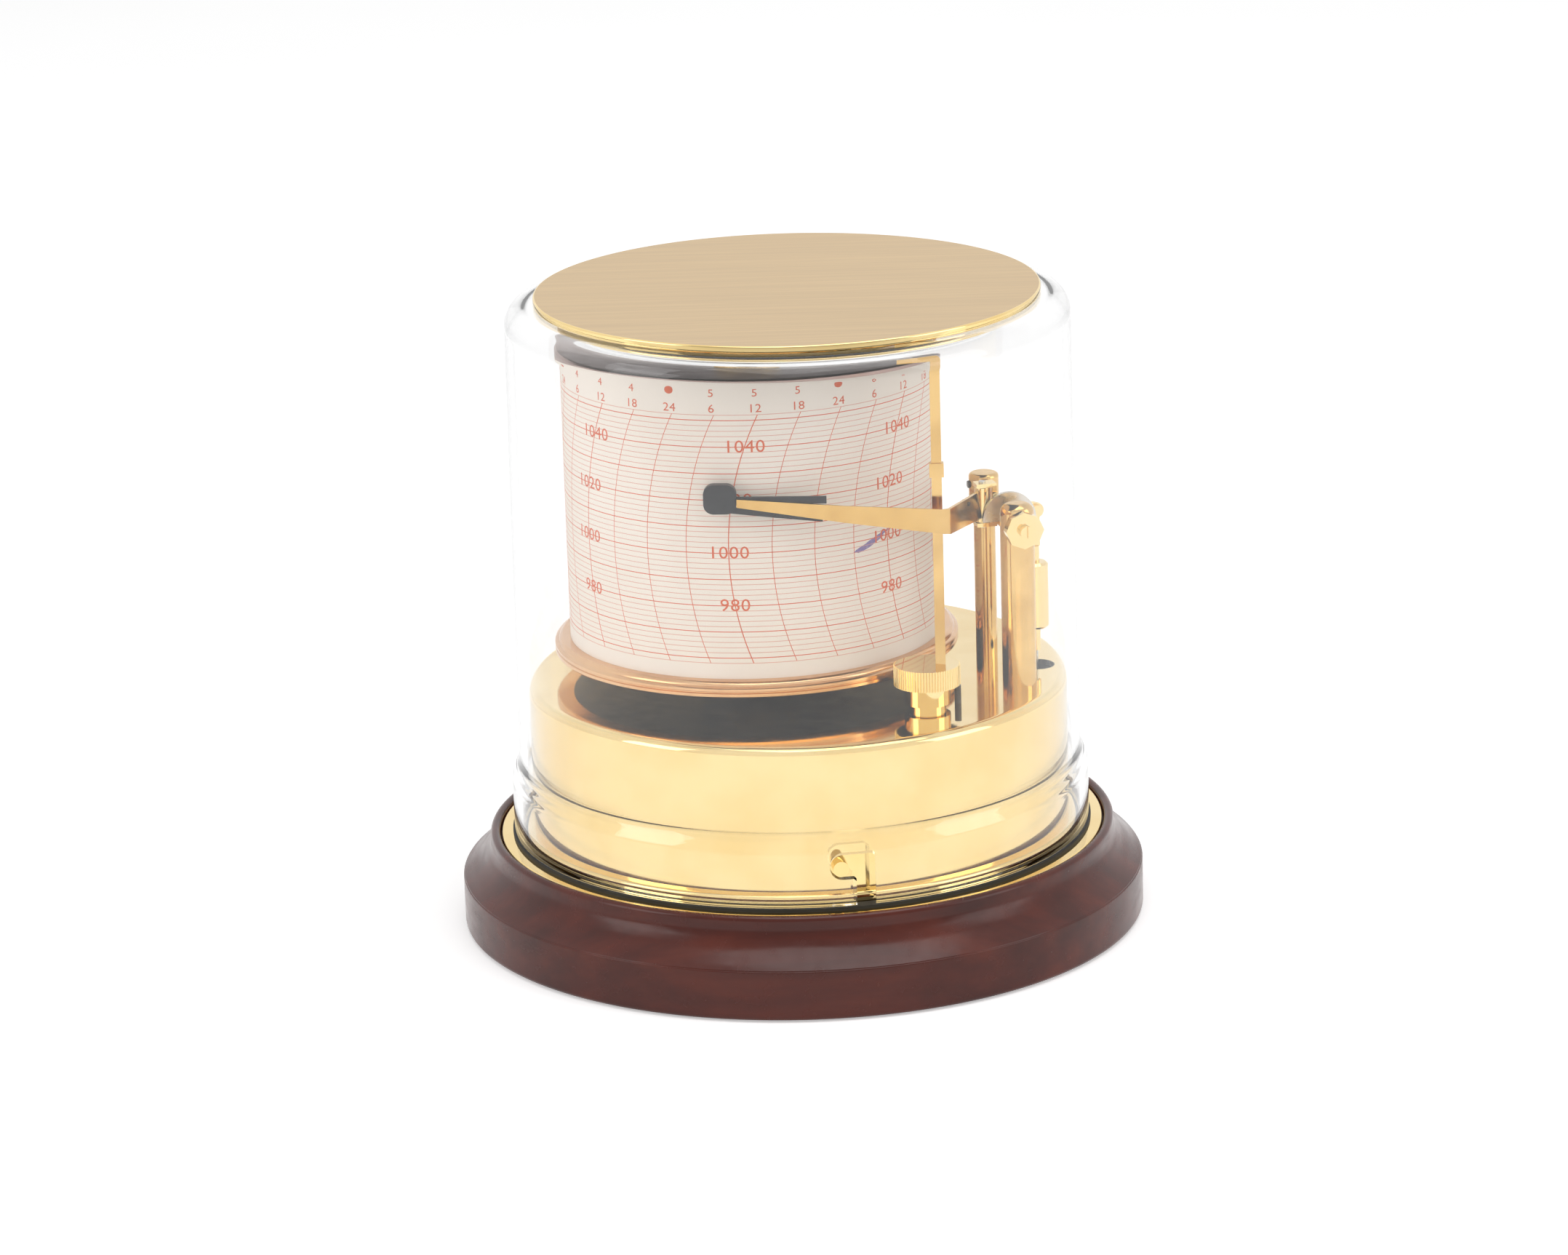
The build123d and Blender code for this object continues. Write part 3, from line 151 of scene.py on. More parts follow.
# Chart print: pressure lines over the paper's height, hour arcs struck from the arm's pivot
HPA_STEP = 0.655
HPA_ZERO_Z = 103.35
ARC_RADIUS = 76.6
ARC_CENTRE_Z = 103.6
PRINT_LOW = 958
PRINT_HIGH = 1052
PRINT_PROUD = 0.02
HOURS_ROUND = 28
ARC_STEPS = 24
FIRST_ARC = -5.6
FRONT_TURN = math.radians(-90)
AROUND = 2 * math.pi * PAPER_RADIUS
STRONG_WIDTH = 0.2
FINE_WIDTH = 0.13
NOON_WIDTH = 0.22
HOUR_WIDTH = 0.15
HOUR_ROW = 138.9
DAY_ROW = 142.7
DOT_ROW = 142.9
HEAD_HEIGHT = 138.8
HEAD_SHIFT = 1.3
HOUR_SIZE = 2.9
DAY_SIZE = 2.7
DOT_SIZE = 8.0
PRESSURE_SIZE = 4.3
LETTER_STRETCH = 1.12
LETTER_PROUD = 0.004
PRINTED_PRESSURES = (1040, 1020, 1000, 980)
SMEAR_STROKES = ((30.2, 102.2, 9.5, 0.30, 1.1), (33.0, 103.6, 8.0, 0.32, 0.7),
                 (29.0, 101.3, 5.0, 0.28, 0.6))
SMEAR_STEPS = 12
SMEAR_END = 0.02


# Mesh tools

LEAST_LEVEL = 0.02
ON_AXIS = 1e-5
TURNED_FACE = 0.999


def new_object(name, mesh):
    obj = bpy.data.objects.new(name, mesh)
    SCENE.collection.objects.link(obj)
    return obj


def mesh_object(name, bm):
    mesh = bpy.data.meshes.new(name)
    bm.normal_update()
    bm.to_mesh(mesh)
    bm.free()
    return new_object(name, mesh)


def smooth(obj, angle=30):
    """Smooth shading, with edges sharper than the angle kept crisp."""
    for face in obj.data.polygons:
        face.use_smooth = True
    obj.data.set_sharp_from_angle(angle=math.radians(angle))
    return obj


def held(outline, longest=6.0, hold=0.4):
    """Add points close to both ends of long lines, so that smooth shading stays at the ends."""
    out = []
    for number, point in enumerate(outline):
        start = Vector(point)
        end = Vector(outline[(number + 1) % len(outline)])
        out.append(point)
        span = (end - start).length
        if span > longest:
            for share in (hold / span, 1 - hold / span):
                place = start.lerp(end, share)
                out.append((place.x, place.y))
    return out


def lathe(name, outline, centre=(0.0, 0.0), body="root"):
    """A closed outline of (radius, height) in millimetres, turned about a vertical axis."""
    bm = bmesh.new()
    rings = []
    for radius, height in held(outline):
        if radius < 1e-6:
            rings.append([bm.verts.new((centre[0] * MM, centre[1] * MM, height * MM))])
            continue
        ring = []
        for step in range(ROUND_STEPS):
            turn = 2 * math.pi * step / ROUND_STEPS
            ring.append(bm.verts.new(((centre[0] + radius * math.cos(turn)) * MM,
                                      (centre[1] + radius * math.sin(turn)) * MM, height * MM)))
        rings.append(ring)
    for number, ring in enumerate(rings):
        after = rings[(number + 1) % len(rings)]
        if len(ring) == 1 and len(after) == 1:
            continue
        for step in range(ROUND_STEPS):
            follow = (step + 1) % ROUND_STEPS
            if len(ring) == 1:
                bm.faces.new((ring[0], after[follow], after[step]))
            elif len(after) == 1:
                bm.faces.new((ring[step], ring[follow], after[0]))
            else:
                bm.faces.new((ring[step], ring[follow], after[follow], after[step]))
    bmesh.ops.recalc_face_normals(bm, faces=bm.faces)
    obj = smooth(mesh_object(name, bm))
    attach(obj, body)
    return obj


def true_normals(obj):
    """Point the normals of faces turned about the origin straight away from it, also beside cuts."""
    mesh = obj.data
    normals = [corner.vector.copy() for corner in mesh.corner_normals]
    for face in mesh.polygons:
        middle = face.center.to_2d()
        level = face.normal.to_2d()
        if level.length < LEAST_LEVEL or middle.length < ON_AXIS:
            continue
        if abs(level.normalized().dot(middle.normalized())) < TURNED_FACE:
            continue
        sign = 1.0 if level.dot(middle) > 0 else -1.0
        for loop in face.loop_indices:
            away = mesh.vertices[mesh.loops[loop].vertex_index].co.to_2d().normalized() * sign
            rise = normals[loop].z
            flat = math.sqrt(max(1.0 - rise * rise, 0.0))
            normals[loop] = Vector((away.x * flat, away.y * flat, rise))
    mesh.normals_split_custom_set([tuple(normal) for normal in normals])


def cut(obj, cutter):
    """Cut a tool body out of a piece and delete the tool."""
    modifier = obj.modifiers.new("cut", "BOOLEAN")
    modifier.operation = "DIFFERENCE"
    modifier.solver = "EXACT"
    modifier.object = cutter
    graph = bpy.context.evaluated_depsgraph_get()
    mesh = bpy.data.meshes.new_from_object(obj.evaluated_get(graph))
    obj.modifiers.clear()
    obj.data = mesh
    bpy.data.objects.remove(cutter)


def prism(name, outline, place, low, high):
    """A closed outline in local millimetres, raised from low to high in a placed frame."""
    bm = bmesh.new()
    foot = [bm.verts.new(place @ Vector((x * MM, y * MM, low * MM))) for x, y in outline]
    head = [bm.verts.new(place @ Vector((x * MM, y * MM, high * MM))) for x, y in outline]
    bm.faces.new(foot)
    bm.faces.new(head)
    for number in range(len(outline)):
        after = (number + 1) % len(outline)
        bm.faces.new((foot[number], foot[after], head[after], head[number]))
    bmesh.ops.recalc_face_normals(bm, faces=bm.faces)
    return mesh_object(name, bm)


def arc_points(centre, radius, start, end, steps):
    """Points of an arc in millimetres, from one angle to another in degrees."""
    points = []
    for step in range(steps + 1):
        turn = math.radians(start + (end - start) * step / steps)
        points.append((centre[0] + radius * math.cos(turn), centre[1] + radius * math.sin(turn)))
    return points


def soft_line(points, steps):
    """A smooth line through given points."""
    out = []
    last = len(points) - 1
    for number in range(last):
        before = Vector(points[max(number - 1, 0)])
        start = Vector(points[number])
        end = Vector(points[number + 1])
        after = Vector(points[min(number + 2, last)])
        for step in range(steps):
            t = step / steps
            place = 0.5 * ((2 * start) + (end - before) * t
                           + (2 * before - 5 * start + 4 * end - after) * t * t
                           + (3 * start - before - 3 * end + after) * t * t * t)
            out.append((place.x, place.y))
    out.append(points[last])
    return out


# Materials

def material(name, base, rough, metallic=0.0):
    """A new node material: returns it with its tree and its shader."""
    made = bpy.data.materials.new(name)
    made.use_nodes = True
    tree = made.node_tree
    shader = tree.nodes["Principled BSDF"]
    shader.inputs["Base Color"].default_value = (*base, 1.0)
    shader.inputs["Roughness"].default_value = rough
    shader.inputs["Metallic"].default_value = metallic
    return made, tree, shader


def noise(tree, scale, detail=4.0, stretch=None):
    """Noise on the object's own coordinates, stretched along an axis where asked."""
    coords = tree.nodes.new("ShaderNodeTexCoord")
    texture = tree.nodes.new("ShaderNodeTexNoise")
    texture.inputs["Scale"].default_value = scale
    texture.inputs["Detail"].default_value = detail
    if stretch:
        mapping = tree.nodes.new("ShaderNodeMapping")
        mapping.inputs["Scale"].default_value = stretch
        tree.links.new(coords.outputs["Object"], mapping.inputs["Vector"])
        tree.links.new(mapping.outputs["Vector"], texture.inputs["Vector"])
    else:
        tree.links.new(coords.outputs["Object"], texture.inputs["Vector"])
    return texture.outputs["Fac"]


def ramp(tree, value, stops):
    """A colour ramp over a value: stops are (place, colour)."""
    node = tree.nodes.new("ShaderNodeValToRGB")
    elements = node.color_ramp.elements
    while len(elements) < len(stops):
        elements.new(0.5)
    for element, (place, colour) in zip(elements, stops):
        element.position = place
        element.color = (*colour, 1.0)
    tree.links.new(value, node.inputs["Fac"])
    return node.outputs["Color"]


def spread(tree, value, low, high):
    """Map a noise value, mostly 0.3 to 0.7, to a range."""
    node = tree.nodes.new("ShaderNodeMapRange")
    node.inputs["From Min"].default_value = 0.3
    node.inputs["From Max"].default_value = 0.7
    node.inputs["To Min"].default_value = low
    node.inputs["To Max"].default_value = high
    tree.links.new(value, node.inputs["Value"])
    return node.outputs["Result"]


def bump(tree, shader, value, strength, distance):
    node = tree.nodes.new("ShaderNodeBump")
    node.inputs["Strength"].default_value = strength
    node.inputs["Distance"].default_value = distance
    tree.links.new(value, node.inputs["Height"])
    tree.links.new(node.outputs["Normal"], shader.inputs["Normal"])


def metal(name, light, dark, rough_low, rough_high, scale=60.0, stretch=None, grain=0.0):
    """Metal with a little change of colour and roughness, and a brushed grain where asked."""
    made, tree, shader = material(name, light, rough_low, 1.0)
    patches = noise(tree, scale)
    tree.links.new(ramp(tree, patches, [(0.35, dark), (0.62, light)]), shader.inputs["Base Color"])
    wear = noise(tree, 4 * scale, 6.0, stretch)
    tree.links.new(spread(tree, wear, rough_low, rough_high), shader.inputs["Roughness"])
    if grain:
        bump(tree, shader, wear, grain, 0.00005)
    return made


def wood():
    made, tree, shader = material("mahogany", (0.10, 0.018, 0.010), 0.2)
    grain = noise(tree, 14.0, 8.0, (1.0, 9.0, 9.0))
    tree.links.new(ramp(tree, grain, [(0.30, (0.055, 0.010, 0.006)), (0.5, (0.082, 0.014, 0.008)),
                                      (0.70, (0.115, 0.020, 0.010))]), shader.inputs["Base Color"])
    pores = noise(tree, 260.0, 3.0, (1.0, 0.15, 1.0))
    tree.links.new(spread(tree, pores, 0.16, 0.30), shader.inputs["Roughness"])
    shader.inputs["Specular IOR Level"].default_value = 0.35
    bump(tree, shader, pores, 0.10, 0.0001)
    return made


def paper():
    made, tree, shader = material("chart_paper", (0.86, 0.78, 0.72), 0.75)
    shade = noise(tree, 25.0, 3.0)
    tree.links.new(ramp(tree, shade, [(0.3, (0.90, 0.81, 0.71)), (0.7, (0.93, 0.85, 0.76))]),
                   shader.inputs["Base Color"])
    fibre = noise(tree, 1500.0, 4.0)
    bump(tree, shader, fibre, 0.15, 0.00003)
    return made


def ink(name, colour, pale):
    made, tree, shader = material(name, colour, 0.7)
    shade = noise(tree, 900.0, 3.0)
    tree.links.new(ramp(tree, shade, [(0.3, colour), (0.7, pale)]), shader.inputs["Base Color"])
    return made


def plastic(name, colour, pale, rough, scale=700.0):
    made, tree, shader = material(name, colour, rough)
    shade = noise(tree, scale / 10, 4.0)
    tree.links.new(ramp(tree, shade, [(0.35, colour), (0.65, pale)]), shader.inputs["Base Color"])
    bump(tree, shader, noise(tree, scale, 4.0), 0.15, 0.00005)
    return made


def acrylic():
    """Clear cover: refracts at its faces, has faint wiping marks, and lets the lamps through."""
    made, tree, shader = material("clear_acrylic", (0.975, 0.975, 0.975), 0.0)
    shader.inputs["Transmission Weight"].default_value = 1.0
    shader.inputs["IOR"].default_value = 1.49
    marks = noise(tree, 30.0, 6.0, (1.0, 1.0, 0.2))
    tree.links.new(spread(tree, marks, 0.0, 0.02), shader.inputs["Roughness"])
    clear = tree.nodes.new("ShaderNodeBsdfTransparent")
    clear.inputs["Color"].default_value = (0.92, 0.92, 0.92, 1.0)
    path = tree.nodes.new("ShaderNodeLightPath")
    mix = tree.nodes.new("ShaderNodeMixShader")
    tree.links.new(path.outputs["Is Shadow Ray"], mix.inputs["Fac"])
    tree.links.new(shader.outputs["BSDF"], mix.inputs[1])
    tree.links.new(clear.outputs["BSDF"], mix.inputs[2])
    tree.links.new(mix.outputs["Shader"], tree.nodes["Material Output"].inputs["Surface"])
    return made


def satin_disc():
    """The top disc's brass, finely brushed across."""
    made, tree, shader = material("satin_brass", (0.70, 0.52, 0.33), 0.42, 0.85)
    brushed = noise(tree, 90.0, 8.0, (0.25, 9.0, 1.0))
    tree.links.new(ramp(tree, brushed, [(0.30, (0.60, 0.43, 0.23)), (0.70, (0.70, 0.53, 0.32))]),
                   shader.inputs["Base Color"])
    tree.links.new(spread(tree, brushed, 0.36, 0.50), shader.inputs["Roughness"])
    bump(tree, shader, brushed, 0.12, 0.00005)
    return made


MATERIALS = {
    "mahogany": wood(),
    "felt": plastic("felt", (0.04, 0.07, 0.05), (0.06, 0.10, 0.07), 0.95, 1500.0),
    "polished_brass": metal("polished_brass", (0.92, 0.71, 0.34), (0.88, 0.65, 0.28), 0.05, 0.09),
    "satin_brass": satin_disc(),
    "copper_brass": metal("copper_brass", (0.80, 0.50, 0.27), (0.70, 0.40, 0.20), 0.14, 0.24, 60.0,
                          (1.0, 1.0, 12.0), 0.1),
    "lid_bronze": metal("lid_bronze", (0.46, 0.34, 0.30), (0.36, 0.25, 0.22), 0.28, 0.38),
    "steel": metal("steel", (0.62, 0.61, 0.60), (0.52, 0.52, 0.51), 0.22, 0.34),
    "dark_steel": metal("dark_steel", (0.10, 0.09, 0.08), (0.05, 0.045, 0.04), 0.25, 0.4),
    "nickel": metal("nickel", (0.74, 0.70, 0.63), (0.62, 0.58, 0.52), 0.22, 0.34),
    "capsule_alloy": metal("capsule_alloy", (0.72, 0.70, 0.66), (0.60, 0.58, 0.55), 0.22, 0.34),
    "clear_acrylic": acrylic(),
    "seal_rubber": plastic("seal_rubber", (0.02, 0.02, 0.02), (0.03, 0.03, 0.03), 0.6),
    "chart_paper": paper(),
    "black_floor": metal("black_floor", (0.010, 0.010, 0.010), (0.004, 0.004, 0.004), 0.3, 0.45),
    "drum_metal": metal("drum_metal", (0.72, 0.72, 0.72), (0.62, 0.62, 0.62), 0.25, 0.4),
    "pen_plastic": plastic("pen_plastic", (0.018, 0.020, 0.022), (0.030, 0.032, 0.035), 0.38),
    "pen_fibre": plastic("pen_fibre", (0.16, 0.06, 0.26), (0.22, 0.09, 0.33), 0.9),
    "clock_plastic": plastic("clock_plastic", (0.04, 0.04, 0.045), (0.06, 0.06, 0.065), 0.45),
    "battery_wrap": metal("battery_wrap", (0.28, 0.30, 0.34), (0.24, 0.25, 0.29), 0.3, 0.4),
}
POST_BRASS = metal("post_brass", (0.80, 0.53, 0.20), (0.62, 0.37, 0.12), 0.08, 0.16, 45.0, (1.0, 1.0, 0.1))
POST_NODES = ("front_post", "rear_post", "rear_post_cap", "pen_arm", "lifter_rod")
PRINT_RED = ink("print_red", (0.70, 0.12, 0.045), (0.76, 0.17, 0.07))
PRINT_FINE = ink("print_fine", (0.74, 0.34, 0.24), (0.79, 0.41, 0.31))
PEN_INK = ink("pen_ink", (0.20, 0.15, 0.38), (0.34, 0.28, 0.50))


def dress(obj, slot):
    """Give a piece one of the record's finishes."""
    obj.data.materials.clear()
    obj.data.materials.append(MATERIALS[slot])
    return obj


def dress_nodes():
    """Give every CAD node its slot's material, in a deeper brass on the posts, arm and rod."""
    for entry in frame["record"]["subparts"]:
        node = frame["nodes"][entry["node"]]
        node.data.materials.clear()
        deep = entry["node"] in POST_NODES
        node.data.materials.append(POST_BRASS if deep else MATERIALS[entry["material_slot"]])
        node.data.set_sharp_from_angle(angle=math.radians(25))


# Base, plate and housing

def wooden_base():
    outline = [(0.0, FELT_HEIGHT), (FELT_RADIUS + FELT_GAP, FELT_HEIGHT),
               (FELT_RADIUS + FELT_GAP, WOOD_BOTTOM), (WOOD_RADIUS - FOOT_ROUND, WOOD_BOTTOM)]
    outline += arc_points((WOOD_RADIUS - FOOT_ROUND, WOOD_BOTTOM + FOOT_ROUND), FOOT_ROUND, -90, 0, 6)
    outline += arc_points((WOOD_RADIUS - SIDE_ROUND, SIDE_TOP), SIDE_ROUND, 0, 70, 5)
    outline += soft_line(COVE_LINE, 4)
    outline += arc_points(RIM_CENTRE, RIM_ROUND, 0, 135, 10)
    outline += [(PLATE_RADIUS + RECESS_GAP, RIM_LIP), (PLATE_RADIUS + RECESS_GAP, RECESS_BOTTOM),
                (0.0, RECESS_BOTTOM)]
    obj = dress(lathe("turned_base", outline), "mahogany")
    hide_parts("wooden_base")


def brass_plate():
    outline = [(0.0, RECESS_BOTTOM), (PLATE_RADIUS, RECESS_BOTTOM)]
    outline += arc_points((PLATE_RADIUS - PLATE_ROUND, PLATE_TOP - PLATE_ROUND), PLATE_ROUND, 0, 90, 5)
    outline += [(BOSS_RADIUS + BOSS_FILLET, PLATE_TOP), (BOSS_RADIUS, PLATE_TOP + BOSS_FILLET)]
    outline += arc_points((BOSS_RADIUS - BOSS_ROUND, BOSS_TOP - BOSS_ROUND), BOSS_ROUND, 0, 90, 6)
    outline += [(0.0, BOSS_TOP)]
    obj = dress(lathe("turned_plate", outline), "polished_brass")
    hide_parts("base_plate")


def housing():
    """The drawn can, with the hole that the link wire goes through."""
    inner = CAN_RADIUS - CAN_WALL
    roof = CAN_TOP - CAN_TOP_WALL
    outline = [(0.0, CAN_TOP)]
    outline += arc_points((CAN_RADIUS - CAN_ROUND, CAN_TOP - CAN_ROUND), CAN_ROUND, 90, 0, 12)
    outline += [(CAN_RADIUS, BOSS_TOP), (inner, BOSS_TOP), (inner, roof), (0.0, roof)]
    obj = lathe("drawn_can", outline)
    link = sum(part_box("adjuster_sleeve"), Vector()) / 2
    place = Matrix.Translation((link.x, link.y, 0.0))
    hole = arc_points((0.0, 0.0), LINK_HOLE_RADIUS, 0, 360, 96)[:-1]
    cut(obj, prism("hole_tool", hole, place, roof - CAN_TOP_WALL, CAN_TOP + CAN_TOP_WALL))
    smooth(obj)
    dress(obj, "polished_brass")
    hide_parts("housing_can")


# Cover

def cover():
    shoulder = (SHOULDER_RADIUS, COVER_TOP - SHOULDER_ROUND)
    shoulder_inside = (SHOULDER_INSIDE_RADIUS, COVER_TOP - TUBE_WALL - SHOULDER_INSIDE_ROUND)
    outline = [(SKIRT_RADIUS, COVER_FOOT + FOOT_CHAMFER), (SKIRT_RADIUS, SKIRT_TOP)]
    outline += soft_line(STEP_OUTSIDE, 5)
    outline += [TUBE_TOP]
    outline += arc_points(shoulder, SHOULDER_ROUND, 0, 90, 20)
    outline += [(0.0, COVER_TOP), (0.0, COVER_TOP - TUBE_WALL)]
    outline += arc_points(shoulder_inside, SHOULDER_INSIDE_ROUND, 90, 0, 16)
    outline += [TUBE_FOOT_INSIDE]
    outline += soft_line(STEP_INSIDE, 5)
    outline += [(SKIRT_INSIDE, COVER_FOOT + FOOT_CHAMFER), (SKIRT_INSIDE + FOOT_CHAMFER, COVER_FOOT),
                (SKIRT_RADIUS - FOOT_CHAMFER, COVER_FOOT)]
    obj = lathe("clear_cover", outline, body="cover")
    for turn in range(SLOT_COUNT):
        cut(obj, bayonet_tool(turn * 360 / SLOT_COUNT))
    smooth(obj, 35)
    true_normals(obj)
    dress(obj, "clear_acrylic")
    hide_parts("cover_shell")


def bayonet_tool(degrees):
    """The J-shaped slot as a solid: local x is sideways, local y is the height."""
    half = (SLOT_HIGH - SLOT_LOW) / 2
    outline = [(LEG_LEFT, COVER_FOOT - half), (LEG_RIGHT, COVER_FOOT - half)]
    outline += arc_points((LEG_RIGHT - LEG_ROUND, SLOT_HIGH - LEG_ROUND), LEG_ROUND, 0, 90, 6)
    outline += arc_points((SLOT_END + half, SLOT_LOW + half), half, 90, 270, 14)
    outline += [(LEG_LEFT - LEG_CHAMFER, SLOT_LOW), (LEG_LEFT, SLOT_LOW - LEG_CHAMFER)]
    upright = Matrix.Rotation(math.radians(90), 4, "X")
    place = Matrix.Rotation(math.radians(degrees), 4, "Z") @ upright
    return prism("slot_tool", outline, place, *SLOT_REACH)


def top_disc():
    """The brass disc: satin on top, polished round its edge."""
    top = COVER_TOP + DISC_HEIGHT
    outline = [(0.0, COVER_TOP), (DISC_RADIUS - DISC_CHAMFER, COVER_TOP),
               (DISC_RADIUS, COVER_TOP + DISC_CHAMFER)]
    outline += arc_points((DISC_RADIUS - DISC_ROUND, top - DISC_ROUND), DISC_ROUND, 0, 90, 6)
    outline += [(0.0, top)]
    obj = dress(lathe("brass_top", outline, body="cover"), "satin_brass")
    obj.data.materials.append(MATERIALS["polished_brass"])
    edge = (DISC_RADIUS - DISC_POLISH) * MM
    for face in obj.data.polygons:
        if math.hypot(face.center.x, face.center.y) > edge:
            face.material_index = 1
    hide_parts("cover_top_disc")


# Drum

def drum_parts():
    paper_outline = [(SHELL_RADIUS, PAPER_BOTTOM), (PAPER_RADIUS, PAPER_BOTTOM), (PAPER_RADIUS, PAPER_TOP),
                     (SHELL_RADIUS, PAPER_TOP)]
    spigot_foot = PAPER_TOP - SPIGOT_DEPTH
    lid_outline = [(LID_BORE, PAPER_TOP), (SPIGOT_INSIDE, PAPER_TOP), (SPIGOT_INSIDE, spigot_foot),
                   (SPIGOT_RADIUS, spigot_foot), (SPIGOT_RADIUS, PAPER_TOP), (PAPER_RADIUS, PAPER_TOP),
                   *LID_EDGE, (LID_BORE, LID_TOP)]
    for name, outline, slot, node in (("turned_flange", FLANGE_LINE, "copper_brass", "drum_flange"),
                                      ("paper_band", paper_outline, "chart_paper", "chart_paper"),
                                      ("turned_lid", lid_outline, "lid_bronze", "drum_lid")):
        obj = dress(lathe(name, outline, DRUM_AXIS, "drum"), slot)
        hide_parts(node)


# Chart print: each line, arc and number is a thin closed strip on the paper

def on_paper(along, height, proud):
    """A point on the drum: along is the distance round it in millimetres, to the right."""
    turn = FRONT_TURN + along / PAPER_RADIUS
    radius = PAPER_RADIUS + proud
    return Vector(((DRUM_AXIS[0] + radius * math.cos(turn)) * MM,
                   (DRUM_AXIS[1] + radius * math.sin(turn)) * MM, height * MM))


def strip(bm, path, width, closed):
    """A thin closed strip along (along, height) points."""
    rows = []
    for number, (along, height) in enumerate(path):
        before = Vector(path[number - 1] if number or closed else path[0])
        after = Vector(path[(number + 1) % len(path)] if number < len(path) - 1 or closed else path[-1])
        run = (after - before).normalized() if not closed else Vector((1.0, 0.0))
        side = Vector((-run.y, run.x)) * width / 2
        corners = ((side, 0.0), (side, PRINT_PROUD), (-side, PRINT_PROUD), (-side, 0.0))
        rows.append([bm.verts.new(on_paper(along + s.x, height + s.y, p)) for s, p in corners])
    skin(bm, rows, closed)


def skin(bm, rows, closed):
    """Faces between rows of four points, with end faces where the strip isn't closed."""
    last = len(rows) if closed else len(rows) - 1
    for number in range(last):
        here, there = rows[number], rows[(number + 1) % len(rows)]
        for corner in range(4):
            follow = (corner + 1) % 4
            bm.faces.new((here[corner], there[corner], there[follow], here[follow]))
    if not closed:
        bm.faces.new(rows[0])
        bm.faces.new(list(reversed(rows[-1])))


def printed(name, bm, finish):
    """A piece of print that rides on the drum."""
    obj = mesh_object(name, bm)
    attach(obj, "drum")
    obj.data.materials.append(finish)


def height_of(pressure):
    return HPA_ZERO_Z + (pressure - 1000) * HPA_STEP


def arc_shift(height):
    """How far right of its leftmost point an hour arc is at a height."""
    rise = height - ARC_CENTRE_Z
    return ARC_RADIUS - math.sqrt(ARC_RADIUS * ARC_RADIUS - rise * rise)


def chart_lines():
    bold = bmesh.new()
    fine = bmesh.new()
    for pressure in range(PRINT_LOW, PRINT_HIGH + 1, 2):
        strong = pressure % 10 == 0
        path = [(AROUND * step / ROUND_STEPS, height_of(pressure)) for step in range(ROUND_STEPS)]
        strip(bold if strong else fine, path, STRONG_WIDTH if strong else FINE_WIDTH, True)
    low, high = height_of(PRINT_LOW), height_of(PRINT_HIGH)
    heights = [low + (high - low) * step / ARC_STEPS for step in range(ARC_STEPS + 1)]
    for mark in range(HOURS_ROUND):
        start = AROUND * mark / HOURS_ROUND + FIRST_ARC
        path = [(start + arc_shift(height), height) for height in heights]
        strip(bold, path, NOON_WIDTH if mark % 4 == 0 else HOUR_WIDTH, False)
    for name, bm, finish in (("chart_lines", bold, PRINT_RED), ("chart_fine_lines", fine, PRINT_FINE)):
        bmesh.ops.recalc_face_normals(bm, faces=bm.faces)
        printed(name, bm, finish)


def number_mesh(text, size):
    """Outline letters as a flat mesh, centred, in millimetres."""
    curve = bpy.data.curves.new("number", "FONT")
    curve.body = text
    curve.size = size
    curve.align_x = "CENTER"
    curve.align_y = "CENTER"
    curve.resolution_u = 3
    curve.extrude = 0.01
    curve.space_character = 1.05
    holder = new_object("number", curve)
    graph = bpy.context.evaluated_depsgraph_get()
    graph.update()
    mesh = bpy.data.meshes.new_from_object(holder.evaluated_get(graph))
    bpy.data.objects.remove(holder)
    return mesh


def chart_numbers():
    bm = bmesh.new()
    made = {}

    def place(text, size, along, height):
        key = (text, size)
        if key not in made:
            made[key] = number_mesh(text, size)
        start = len(bm.verts)
        bm.from_mesh(made[key])
        bm.verts.ensure_lookup_table()
        for vertex in bm.verts[start:]:
            proud = LETTER_PROUD + (PRINT_PROUD if vertex.co.z > 0 else 0.0)
            vertex.co = on_paper(along + vertex.co.x * LETTER_STRETCH, height + vertex.co.y, proud)

    for mark in range(HOURS_ROUND):
        quarter = mark % 4
        start = AROUND * mark / HOURS_ROUND + FIRST_ARC
        head = start + arc_shift(HEAD_HEIGHT) - HEAD_SHIFT
        hour = (12, 18, 24, 6)[quarter]
        day = (4 + (mark + 1) // 4) % 7 + 1
        place(str(hour), HOUR_SIZE, head, HOUR_ROW)
        if quarter == 2:
            place("•", DOT_SIZE, head, DOT_ROW)
        else:
            place(str(day), DAY_SIZE, head, DAY_ROW)
        if quarter == 0:
            for pressure in PRINTED_PRESSURES:
                height = height_of(pressure)
                place(str(pressure), PRESSURE_SIZE, start + arc_shift(height), height)
    printed("chart_numbers", bm, PRINT_RED)


def ink_smear():
    """A smear of pen ink right of the middle, beside the thousand line."""
    bm = bmesh.new()
    proud = PRINT_PROUD / 2
    for along, height, length, slope, width in SMEAR_STROKES:
        rows = []
        for step in range(SMEAR_STEPS + 1):
            share = step / SMEAR_STEPS - 0.5
            half = width * math.sqrt(max(0.25 - share * share, 0.0)) + SMEAR_END
            x = along + share * length
            y = height + share * length * slope
            ends = ((half, 0.0), (half, proud), (-half, proud), (-half, 0.0))
            rows.append([bm.verts.new(on_paper(x, y + side, rise)) for side, rise in ends])
        skin(bm, rows, False)
    bmesh.ops.recalc_face_normals(bm, faces=bm.faces)
    printed("ink_smear", bm, PEN_INK)


# Stage: the floor and the room glow white to the camera; mirrors see less of it in front of the object

